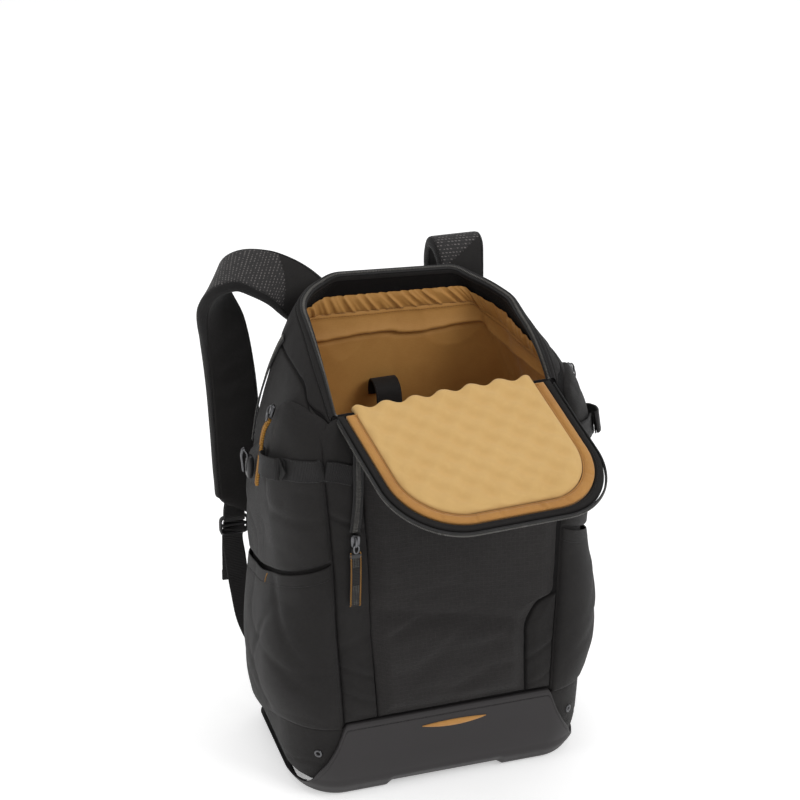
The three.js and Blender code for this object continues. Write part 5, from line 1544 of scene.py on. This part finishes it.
def bartack(side, tag):
    """A bar of dense stitches at the pouch's mouth."""
    _, grid, pn, _ = pouches[tag]
    col = int(grid.shape[1] * 0.47)
    zs = grid[:, col, 2]
    rows_in = np.where((zs > 212) & (zs < 236))[0]
    line = np.stack([grid[r, col] + np.array([0, -0.35 * (r - rows_in[0]), 0]) for r in rows_in])
    build = Build()
    row_of(build, line[::-1], pn[rows_in[::-1], col], 0.75, (0.75, 0.3, 0.3), lift=0.3, pick=0, zigzag=0.12)
    build.made("bartack_" + tag, [GOLD_THREAD], slot="gold_webbing")


for side, tag in SIDES:
    side_pull(side, tag)
    lash_band(side, tag)
    side_catch(side, tag)
    bartack(side, tag)

BACK_ZIP = [(-0.775, 0.66), (-0.772, 0.74), (-0.765, 0.8), (-0.755, 0.86), (-0.745, 0.905)]
zs = curve(np.array(BACK_ZIP) * [100, 100], 120) / 100
path, face = wall(zs[:, 0], rise_at(zs[:, 0], zs[:, 1] * BODY_HEIGHT), 2.2)
zip_band("rear_zip_coil", path, face, 8.0, "back_zip", side_by_side=True)


EYELET_SHARE, EYELET_HEIGHT = 0.3685, 53.0


def drain(side, tag):
    """An eyelet low on a front corner."""
    share = side * EYELET_SHARE
    at, n = wall_spot(share, rise_at(np.array([share]), EYELET_HEIGHT)[0], 1.2)
    across = unit(np.cross(n, (0, 0, 1)))
    up = np.cross(n, across)
    a = np.linspace(0, 2 * np.pi, 28, endpoint=False)
    build = Build()
    rings = [[at + (across * math.cos(b) + up * math.sin(b)) * r + n * h for b in a] for r, h in
             ((4.1, -0.8), (4.1, 0.1), (3.7, 0.6), (3.0, 0.75), (2.3, 0.45), (1.9, -0.2), (1.8, -1.2))]
    build.grid(np.array(rings), closed=True, flip=False)
    # The disc closing the hole takes the darker copy of the cloth: painted shade in the eyelet.
    build.cap(np.array(rings[-1]), pick=1)
    build.made("drain_" + tag, [GUNMETAL, INNER_BLACK_PAINTED_SHADE], slot="gunmetal", replaces=("eyelet_" + tag,))


for side, tag in SIDES:
    drain(side, tag)

# Moulded base: a plate under the body, and an apron up its front with a seam along the top.
ARCH_HALF, ARCH_EDGE, ARCH_HIGH, LEAST_RISE = 61.5, 7, 5.0, 0.03
ACCENT_X, ACCENT_Z, ACCENT_LENGTH, ACCENT_TALL = 5, 72, 66, 6.5
# Columns of the profile: height as a share of BASE_HEIGHT, and how far out.
BASE_PROFILE = np.array(
    [
        [0, -10.5], [0.015, -7.5], [0.04, -5.0], [0.1, -1.6], [0.22, 3.6], [0.38, 4.6], [0.55, 5.0],
        [0.8, 4.8], [1.1, 4.4]
    ]
)
APRON_TOP = np.array(
    [
        [0, 87.5], [0.29, 87.5], [0.297, 86.5], [0.302, 83.5], [0.307, 78.5], [0.312, 72.5], [0.325, 59.5],
        [0.347, 43.5], [0.366, 33.5], [0.387, 22.0], [0.405, 15.0], [0.43, 11.6], [0.47, 10.6], [1.0, 10.6],
    ]
)


def base_shell():
    """The moulded base: its side wall from the floor up, the bead along its top, and its underside."""
    shares = np.concatenate(
        [
            np.linspace(-1, -0.45, 50, endpoint=False), np.linspace(-0.45, 0.45, 301),
            np.linspace(0.45, 1, 51)[1:-1]
        ]
    )
    top = pchip(np.abs(shares), APRON_TOP[:, 0], APRON_TOP[:, 1])
    t = np.concatenate([np.linspace(0, 0.1, 7)[:-1], np.linspace(0.1, 1, 42)])
    rows = []

    def ring(z, fall):
        z = np.broadcast_to(z, shares.shape)
        base, n = wall(shares, np.maximum(LEAST_RISE, rise_at(shares, z)), 0)
        out = pchip(z / BASE_HEIGHT, BASE_PROFILE[:, 0], BASE_PROFILE[:, 1])
        soft = 0.5 * noise(base, (70, 70, 40), 151) * smooth(z / 30)
        p = wall(shares, np.maximum(LEAST_RISE, rise_at(shares, z)), out + fall + soft)[0]
        p[:, 2] = z
        front = p[:, 1] < FRONT_Y + 40
        arch = smooth((ARCH_HALF - np.abs(p[:, 0])) / ARCH_EDGE) * front
        p[:, 2] = np.maximum(0, z) + ARCH_HIGH * arch * np.clip(1 - z / 22, 0, 1)
        return p

    apron = smooth((top - 12) / 20)
    for k in t:
        z = k * (top - 9.6 * apron)
        rows.append(ring(z, 0.0))
    for down, fall in (
        (7.6, 0.05), (6.9, 0.0), (6.5, -0.35), (6.1, -0.35), (5.7, 0.0), (5.0, 0.12), (3.6, 0.15),
        (2.4, 0.1), (1.4, -0.15), (0.7, -0.7), (0.2, -1.5), (0.0, -2.6)
    ):
        rows.append(ring(top - down * apron, fall * apron))
    rows.append(
        wall(
            shares, np.maximum(LEAST_RISE, rise_at(shares, top - 0.6)), np.where(apron > 0.02, -0.4, -3.0)
        )[0]
    )
    rows[-1][:, 2] = np.minimum(rows[-1][:, 2], top - 0.4)
    grid = np.array(rows)
    build = Build()
    build.grid(grid, closed=True)
    foot = grid[0]
    centre = np.array([0, foot[:, 1].mean(), 0])
    under = [foot]
    for k in (0.86, 0.66, 0.4, 0.15):
        r = centre + (foot - centre) * k
        r[:, 2] = ARCH_HIGH * smooth((ARCH_HALF - np.abs(r[:, 0])) / ARCH_EDGE) * (r[:, 1] < FRONT_Y + 40)
        under.append(r)
    build.grid(np.array(under), closed=True, flip=True)
    build.cap(under[-1], flip=True, centre=centre)
    front = np.abs(shares) < 0.305
    line, n = wall(shares[front], rise_at(shares[front], top[front] - 6.3), 4.3)
    stitches(build, line, n, lift=0.35, pitch=3.6, thick=0.34, pick=1)
    build.made("base_shell", [COATED, BLACK_THREAD], slot="coated", replaces=("base",))


base_shell()


def accent():
    """A slim lens let into the base: bound slit with a tan lining showing."""
    u = np.linspace(0, 1, 61)
    swell = np.sin(np.pi * u) ** 0.8
    x = ACCENT_X + (u - 0.5) * ACCENT_LENGTH
    top, low = ACCENT_Z + 0.28 * ACCENT_TALL * swell, ACCENT_Z - (0.72 * swell + 0.04) * ACCENT_TALL
    v = np.linspace(-1, 1, 15)[:, None]
    z = (top + low) / 2 + (top - low) / 2 * v
    y = FRONT_Y - 4.9 - 1.2 * np.sqrt(np.maximum(0, 1 - v**2)) * np.sqrt(swell) + 0 * z
    grid = np.stack([np.broadcast_to(x, z.shape), y, z], -1)
    build = Build()
    build.grid(grid)
    back = grid.copy()
    back[..., 1] = FRONT_Y - 4.4
    build.grid(back, flip=True)
    for row in (0, -1):
        build.grid(np.array([grid[row], back[row]]), flip=row == 0)
    stitches(build, grid[-1] + np.array([0, -0.3, -0.8]), (0, -1, 0), lift=0.2, pitch=2.2, thick=0.2, pick=1)
    build.made("accent_lens", [TAN_EDGE, TAN_THREAD], slot="tan_cloth", replaces=("base_accent",))


accent()


# Padded back with its channel, shoulder straps, ladder locks, webbing and haul handle.
def back_cushions():
    """Two channelled cushions with bound edges, and the strip of cloth between them."""
    build = Build()
    for side in (-1, 1):
        lows, highs = [
            (0.987, 0.1), (0.987, 0.4), (0.987, 0.65), (0.987, 0.885)
        ], [(0.852, 0.12), (0.851, 0.4), (0.852, 0.65), (0.858, 0.87)]
        share, rise = ruled(
            [(side * a, b) for a, b in highs], [(side * a, b) for a, b in lows], 120, 370, 3.2
        )
        base, _ = wall(share, rise, 0.0)
        du, dv = arcs(base)
        d = from_edges(du, dv)
        e = rounded(d, 15)
        out = 0.9 + 9.2 * e + 0.7 * smooth(d / 14) * noise(base, 40, 161)
        for at in (0.34, 0.6):
            z = dv / dv[-1:]
            out = out - 5.2 * e * np.exp(-(((z - at - 0.02 * np.sin(du / 40)) * 370 / 4.2) ** 2))
        grid, n = wall(share, rise, out)
        build.grid(grid, flip=share[0, -1] < share[0, 0])
        norm = border(n)
        sweep(build, border(grid) + norm * 1.3, norm, round_section(1.7, 8), closed=True, pick=1)
    channel = np.linspace(0.99, 1.01, 5)
    rises = np.linspace(0.1, 0.885, 90)
    share, rise = np.meshgrid(channel, rises)
    build.grid(wall(share, rise, 1.6 + 0.3 * np.cos(rise * 300))[0], pick=2)
    made = build.made("back_cushions", [SPACER, BINDING, BLACK], slot="padded_mesh", replaces=("back_panel",))


back_cushions()
STRAP = np.array(
    [
        [0.558, 0.508, 0.94, 0.86, -0.15, -0.85, 0.5], [0.675, 0.555, 0.971, 0.92, 0.05, -0.66, 0.75],
        [0.805, 0.593, 0.992, 0.96, 0.15, -0.5, 0.85], [0.929, 0.643, 0.998, 0.98, 0.05, -0.25, 0.95],
        [1.039, 0.687, 0.979, 0.96, -0.5, 0.1, 0.8], [1.084, 0.72, 0.934, 0.92, -0.75, 0.6, 0.15],
        [1.032, 0.731, 0.857, 0.88, -0.42, 0.9, 0], [0.987, 0.753, 0.754, 0.86, -0.2, 1, 0],
        [0.961, 0.769, 0.64, 0.86, -0.12, 1, 0], [0.942, 0.78, 0.517, 0.86, -0.1, 1, 0],
        [0.94, 0.78, 0.462, 0.8, -0.1, 1, 0], [0.958, 0.78, 0.446, 0.62, -0.05, 1, 0],
        [0.97, 0.78, 0.439, 0.4, 0, 1, 0],
    ]
)
TAIL = np.array(
    [
        [0.99, 0.78, 0.384], [0.985, 0.768, 0.32], [0.97, 0.72, 0.25], [0.95, 0.64, 0.19],
        [0.9, 0.565, 0.15], [0.86, 0.53, 0.13]
    ]
)
RIGHT_STRAP = np.array(
    [
        [0.48, 0.506, 0.935, 0.7, 0, -0.85, 0.5], [0.485, 0.55, 0.972, 0.76, 0, -0.75, 0.66],
        [0.49, 0.61, 0.997, 0.84, 0, -0.4, 0.9], [0.495, 0.68, 1.0, 0.88, 0, 0.15, 1],
        [0.505, 0.745, 0.97, 0.9, 0, 0.65, 0.75], [0.52, 0.785, 0.915, 0.9, 0, 0.95, 0.3],
        [0.535, 0.8, 0.845, 0.88, 0, 1, 0.05], [0.56, 0.8, 0.75, 0.86, 0, 1, 0],
        [0.59, 0.8, 0.64, 0.86, 0, 1, 0], [0.63, 0.79, 0.52, 0.86, 0, 1, 0],
        [0.655, 0.785, 0.462, 0.8, 0, 1, 0], [0.668, 0.782, 0.446, 0.62, 0, 1, 0],
        [0.675, 0.78, 0.439, 0.4, 0, 1, 0],
    ]
)
RIGHT_TAIL = np.array(
    [
        [0.682, 0.78, 0.384], [0.687, 0.77, 0.33], [0.73, 0.72, 0.25], [0.77, 0.64, 0.19],
        [0.81, 0.565, 0.15], [0.84, 0.53, 0.13]
    ]
)
SIZES = np.array([HALF, BODY_DEPTH, BODY_HEIGHT])


def strap_cloth():
    """Spacer cloth with rows of pale dashes broken by dark zigzags."""
    n = Nodes("strap_mesh")
    u, v = n.split(n.coord.outputs["UV"])
    column = n.math("POWER", n.math("MAXIMUM", n.wave("COSINE", v, 0.031), 0.0), 1.6)
    row = n.wave("COSINE", n.add(u, n.mul(v, 0.5)), 0.036)
    row = n.ramp(row, -0.55, 0.1)
    fold = n.math("PINGPONG", u, 0.09)
    zig = n.wave("COSINE", n.add(v, fold), 0.125)
    zig = n.ramp(zig, 0.55, 0.8, 1.0, 0.12)
    dash = n.mul(n.mul(column, row), zig)
    slow = n.noise(n.coord.outputs["Object"], 60.0, 3.0, 0.6)
    dash = n.mul(dash, n.ramp(slow, 0.3, 0.7, 0.65, 1.0))
    height = n.add(dash, n.mul(n.noise(n.stretch(n.coord.outputs["UV"], (220, 220, 1)), 1.0), 0.3))
    return n.done(
        n.blend(dash, rgb(27, 25, 25), rgb(112, 106, 104)), n.ramp(dash, 0.0, 1.0, 0.8, 0.55),
        n.bump(height, 0.0007), sheen=0.1
    )


STRAP_MESH = strap_cloth()


STRAP_HALF, BOUND, END_AT, END_SLANT = 31, 0.865, 26, 16


def strap(side, tag):
    """The padded strap: mesh between bound edges, a smooth slanting end panel, and a rib of webbing."""
    table = STRAP if side < 0 else RIGHT_STRAP
    rows = np.concatenate(
        [
            table[:, :3] * [side * HALF, BODY_DEPTH, BODY_HEIGHT], table[:, 3:4] * STRAP_HALF,
            table[:, 4:] * [-side * 10, 10, 10]
        ],
        1
    )
    spots = curve(
        rows,
        np.concatenate(
            [np.linspace(0, 0.03, 8)[:-1], np.linspace(0.03, 0.965, 190), np.linspace(0.965, 1, 10)[1:]]
        )
    )
    path, half, face = spots[:, :3], spots[:, 3], unit(spots[:, 4:])
    _, across, up = frames(path, face)
    a = np.concatenate(
        [
            [-1, -0.985, -0.96, -0.93, -0.9, -0.88, -0.865, -0.85, -0.82], np.linspace(-0.76, 0.76, 25),
            [0.82, 0.85, 0.865, 0.88, 0.9, 0.93, 0.96, 0.985, 1]
        ]
    )
    edge = np.sqrt(np.maximum(0, 1 - np.maximum(0, (np.abs(a) - 0.82) / 0.18) ** 2.2))
    s = np.concatenate([[0], np.cumsum(np.linalg.norm(np.diff(path, axis=0), axis=1))])
    tip = rounded(s[-1] - s, 9) * 0.75 + 0.25
    thick = 6.0 * tip
    grids = []
    for sign in (1, -1):
        lift = sign * edge[None] * thick[:, None] * (1 + 0.06 * (1 - a[None] ** 2))
        groove = 0.9 * bell(np.abs(a) - BOUND, 0.016)[None] * tip[:, None]
        q = path[:, None] + across[:, None] * (
            a[None, :, None] * half[:, None, None]
        ) + up[:, None] * lift[..., None]
        soft = 0.45 * noise(q, 26, 171 + side) + 0.35 * creases(q, 34, 175)
        if sign > 0:
            cut = bell(s[:, None] - END_AT - END_SLANT * a[None], 1.5) * 0.8 * (np.abs(a[None]) < 0.87)
            soft = soft - cut
        else:
            bend = bell(s - 205, 40)[:, None]
            soft = soft + bend * 1.1 * np.sin(
                s[:, None] / 4.6 + 0.8 * np.sin(a[None] * 3)
            ) * (1 - a[None] ** 2)
        q = q + up[:, None] * (sign * (soft * 0.6 * (1 - np.abs(a[None]) ** 4) - groove))[..., None]
        grids.append(q)
    build = Build()
    front, rear = grids
    size = len(a)
    du, dv = arcs(front)
    dv = np.broadcast_to(s[:, None], dv.shape)
    faces = quads(len(path), size, False, 0, True)
    mid = (a[:-1] + a[1:]) / 2
    picks = []
    for r in range(len(path) - 1):
        for m in mid:
            reach = s[r] > END_AT + END_SLANT * m
            picks.append(1 if abs(m) > BOUND else (0 if reach and s[r] < s[-1] - END_SLANT else 2))
    build.put(front, faces, np.stack([du, dv], -1))
    build.picks[-len(faces):] = picks
    build.put(rear, quads(len(path), size), np.stack([du, dv], -1), 2)
    rear_picks = [1 if abs(m) > BOUND else 2 for _ in range(len(path) - 1) for m in mid]
    build.picks[-len(faces):] = rear_picks
    for k, flip in ((0, False), (-1, True)):
        build.grid(np.array([front[k], rear[k]]), flip=flip, pick=1)
    for face_grid, away in ((front, up), (rear, -up)):
        for m in (5, len(a) - 6):
            stitches(build, face_grid[:, m], away, lift=0.15, pitch=3.2, pick=3)
    # A low rib of webbing down the strap's middle, held by a line of stitches along each edge.
    mid_line = front[:, size // 2][70:-18]
    mid_up = up[70:-18]
    sweep(build, mid_line + mid_up * 0.4, mid_up, ribbon(20, 1.6, count=5), pick=4)
    edge_stitches(build, mid_line + mid_up * 1.2, mid_up, 8.8, lift=0.1, pitch=3.2, pick=3)
    made = build.made(
        "strap_" + tag, [STRAP_MESH, BINDING, BLACK, BLACK_THREAD, WEBBING], slot="padded_mesh",
        replaces=("shoulder_strap_" + tag,)
    )


def lock_spot(side):
    """Middle of a ladder lock."""
    return np.array([-0.985 if side < 0 else 0.68, 0.78, 0.4]) * SIZES


def strap_tab(side, tag, lock):
    """Webbing that holds the ladder lock to the strap's end."""
    build = Build()
    tab = curve(
        [
            lock + [side * -2, 1.5, 26], lock + [0, 0.6, 16], lock + [0, 1.2, 9], lock + [0, 0.5, 6.2],
            lock + [0, -2.6, 5.8], lock + [0, -4.2, 9], lock + [0, -3.4, 17], lock + [side * -2, -2.5, 24]
        ],
        70
    )
    sweep(build, tab, (0, 1, 0), ribbon(21.5, 1.5, count=7), pick=0)
    edge_stitches(build, tab[:30], (0, 1, 0), 8.6, lift=0.75, pitch=3, pick=1)
    build.made("strap_tab_" + tag, [WEBBING, BLACK_THREAD], slot="black_webbing")


def ladder_lock(tag, lock):
    """A frame with two bars and a lip."""
    build = Build()
    ring = boxy(64, 0.42)[:, [0, 0, 1]] * [14.2, 0, 9.4]
    sweep(build, lock + ring, (0, 1, 0), ribbon(2.9, 5.2, soft=0.2, count=0), closed=True, pick=0)
    for z, depth, y in ((0.0, 3.4, 0.0), (-6.2, 3.0, 1.2)):
        bar = np.array([lock + [x, y - 0.6 * (x / 12) ** 2, z] for x in np.linspace(-13.2, 13.2, 21)])
        sweep(build, bar, (0, 1, 0), ribbon(3.4, depth, soft=0.3, count=1), pick=0)
    lip = np.array(
        [
            lock + [x, 2.2 + 1.5 * (1 - (x / 13) ** 2), -9.0 - 2.6 * (1 - (x / 13) ** 2)]
            for x in np.linspace(-13, 13, 25)
        ]
    )
    sweep(build, lip, (0, 1, -0.6), ribbon(4.2, 2.2, soft=0.3, count=1), pick=0)
    build.made("lock_" + tag, [PLASTIC], slot="black_plastic", replaces=("ladder_lock_" + tag,))


def strap_tail(side, tag, lock):
    """Webbing from the lock to the anchor, and its loose end."""
    rows = (TAIL if side < 0 else RIGHT_TAIL) * SIZES * [side, 1, 1]
    rows = np.concatenate(
        [[lock + [0, -2.6, 4.6], lock + [0, 1.9, 1.5], lock + [0, 2.4, -1.5], lock + [0, -1.6, -5.2]], rows]
    )
    path = curve(rows, 150)
    build = Build()
    facing = (side * -0.1, 1, 0.2)
    sweep(build, path, facing, ribbon(21.5, 1.7, count=7), puff=lambda r: 0.2 * noise(r, 9, 181))
    edge_stitches(build, path[40:], facing, 9.4, lift=0.85, pitch=3.2, pick=1)
    loose = curve(
        [
            lock + [0, 1.8, 2], lock + [0, 5.0, -3], lock + [side * 1, 6.5, -18],
            lock + [side * 2, 5.2, -44], lock + [side * 2.5, 4.0, -66]
        ],
        60
    )
    sweep(
        build, loose, (0, 1, 0.05), ribbon(21, 1.6, count=7), pick=0,
        puff=lambda r: 0.25 * noise(r, 12, 183)
    )
    end = loose[50:]
    sweep(build, end + np.array([0, 1.5, 0]), (0, 1, 0.05), ribbon(21.4, 1.6, count=7), pick=0)
    build.made(
        "strap_tail_" + tag, [WEBBING, BLACK_THREAD], slot="black_webbing",
        replaces=("strap_webbing_" + tag,)
    )
    return path


def anchor(side, tag, path):
    """A cloth triangle sewn into the body's rear corner."""
    build = Build()
    rows = []
    foot = path[-1]
    for k in np.linspace(0, 1, 12):
        half = 12 + 12 * k
        base_p = path[-16] * (1 - k) + (foot + np.array([-side * 14, 0.5, -10])) * k
        rows.append(
            [
                base_p + np.array([side * w * half * -0.35, 1.5 * (1 - w * w) * (1 - k), w * half * 0.9])
                for w in np.linspace(-1, 1, 9)
            ]
        )
    rows = np.array(rows)
    build.grid(rows, flip=side > 0)
    build.grid(rows - np.array([0, 2.4, 0]), flip=side < 0)
    build.made("anchor_" + tag, [BLACK], slot="black_cloth")


for side, tag in SIDES:
    strap(side, tag)
    lock = lock_spot(side)
    strap_tab(side, tag, lock)
    ladder_lock(tag, lock)
    anchor(side, tag, strap_tail(side, tag, lock))

HANDLE = np.array([[0.27, 0.5, 0.912], [0.265, 0.56, 0.926], [0.22, 0.64, 0.932], [0.08, 0.69, 0.93]])
HANDLE = np.concatenate([HANDLE * [-1, 1, 1], HANDLE[::-1]])


def haul_handle():
    """A webbing loop that leans back behind the rim, rolled into a grip in its middle."""
    path = curve(HANDLE * SIZES, 150)
    facing = unit(np.array([0, -0.45, 1.0]))
    t = np.linspace(0, 1, 150)
    grip = smooth((t - 0.22) / 0.12) * smooth((0.78 - t) / 0.12)
    build = Build()
    _, across, up = frames(path, facing)
    shape = boxy(28, 0.7)
    w, h = 6.4 - 0.6 * grip, 1.4 + 2.0 * grip
    ring = path[:, None] + across[:, None] * (
        shape[None, :, :1] * w[:, None, None]
    ) + up[:, None] * (shape[None, :, 1:] * h[:, None, None])
    build.grid(ring, closed=True, flip=False)
    build.put(ring[0], [tuple(range(28))[::-1]])
    build.put(ring[-1], [tuple(range(28))])
    edge_stitches(build, path + up * (h[:, None] * 0.92), facing, 4.4, lift=0.1, pitch=3, pick=1)
    build.made("handle_loop", [WEBBING, BLACK_THREAD], slot="black_webbing", replaces=("haul_handle",))


haul_handle()

# Floor and light.
floor_mesh = bpy.data.meshes.new("floor")
floor_mesh.from_pydata([(-8, -8, 0), (8, -8, 0), (8, 8, 0), (-8, 8, 0)], [], [(0, 1, 2, 3)])
floor_obj = bpy.data.objects.new("floor", floor_mesh)
scene.collection.objects.link(floor_obj)
n = Nodes("studio_floor")
grain = n.noise(n.coord.outputs["Object"], 30.0, 4.0, 0.6)
floor_mesh.materials.append(
    n.done(n.blend(grain, rgb(249, 249, 249), rgb(252, 252, 252)), 0.7, n.bump(grain, 0.0002), specular=0.2)
)
floor_shader = n.tree.nodes["Principled BSDF"]
floor_shader.inputs["Emission Color"].default_value = (1, 1, 1, 1)
floor_shader.inputs["Emission Strength"].default_value = 0.42

world = bpy.data.worlds.new("studio")
scene.world = world
world.use_nodes = True
world.node_tree.nodes["Background"].inputs["Color"].default_value = (1, 1, 1, 1)
world.node_tree.nodes["Background"].inputs["Strength"].default_value = 0.5


def soft_light(name, at, to, size, power):
    data = bpy.data.lights.new(name, "AREA")
    data.shape = "RECTANGLE"
    data.size, data.size_y = size
    data.energy = power
    lamp = bpy.data.objects.new(name, data)
    lamp.location = at
    lamp.rotation_euler = (Vector(to) - Vector(at)).to_track_quat("-Z", "Y").to_euler()
    scene.collection.objects.link(lamp)


soft_light("key", (1.5, -1.9, 2.1), (0, 0, 0.25), (1.2, 1.2), 26)
soft_light("top", (-0.1, 0.3, 2.6), (0, 0, 0.3), (1.8, 1.4), 17)
soft_light("left", (-2.2, -0.6, 1.1), (0, 0, 0.25), (0.9, 1.6), 7)
scene.view_settings.view_transform = "Standard"
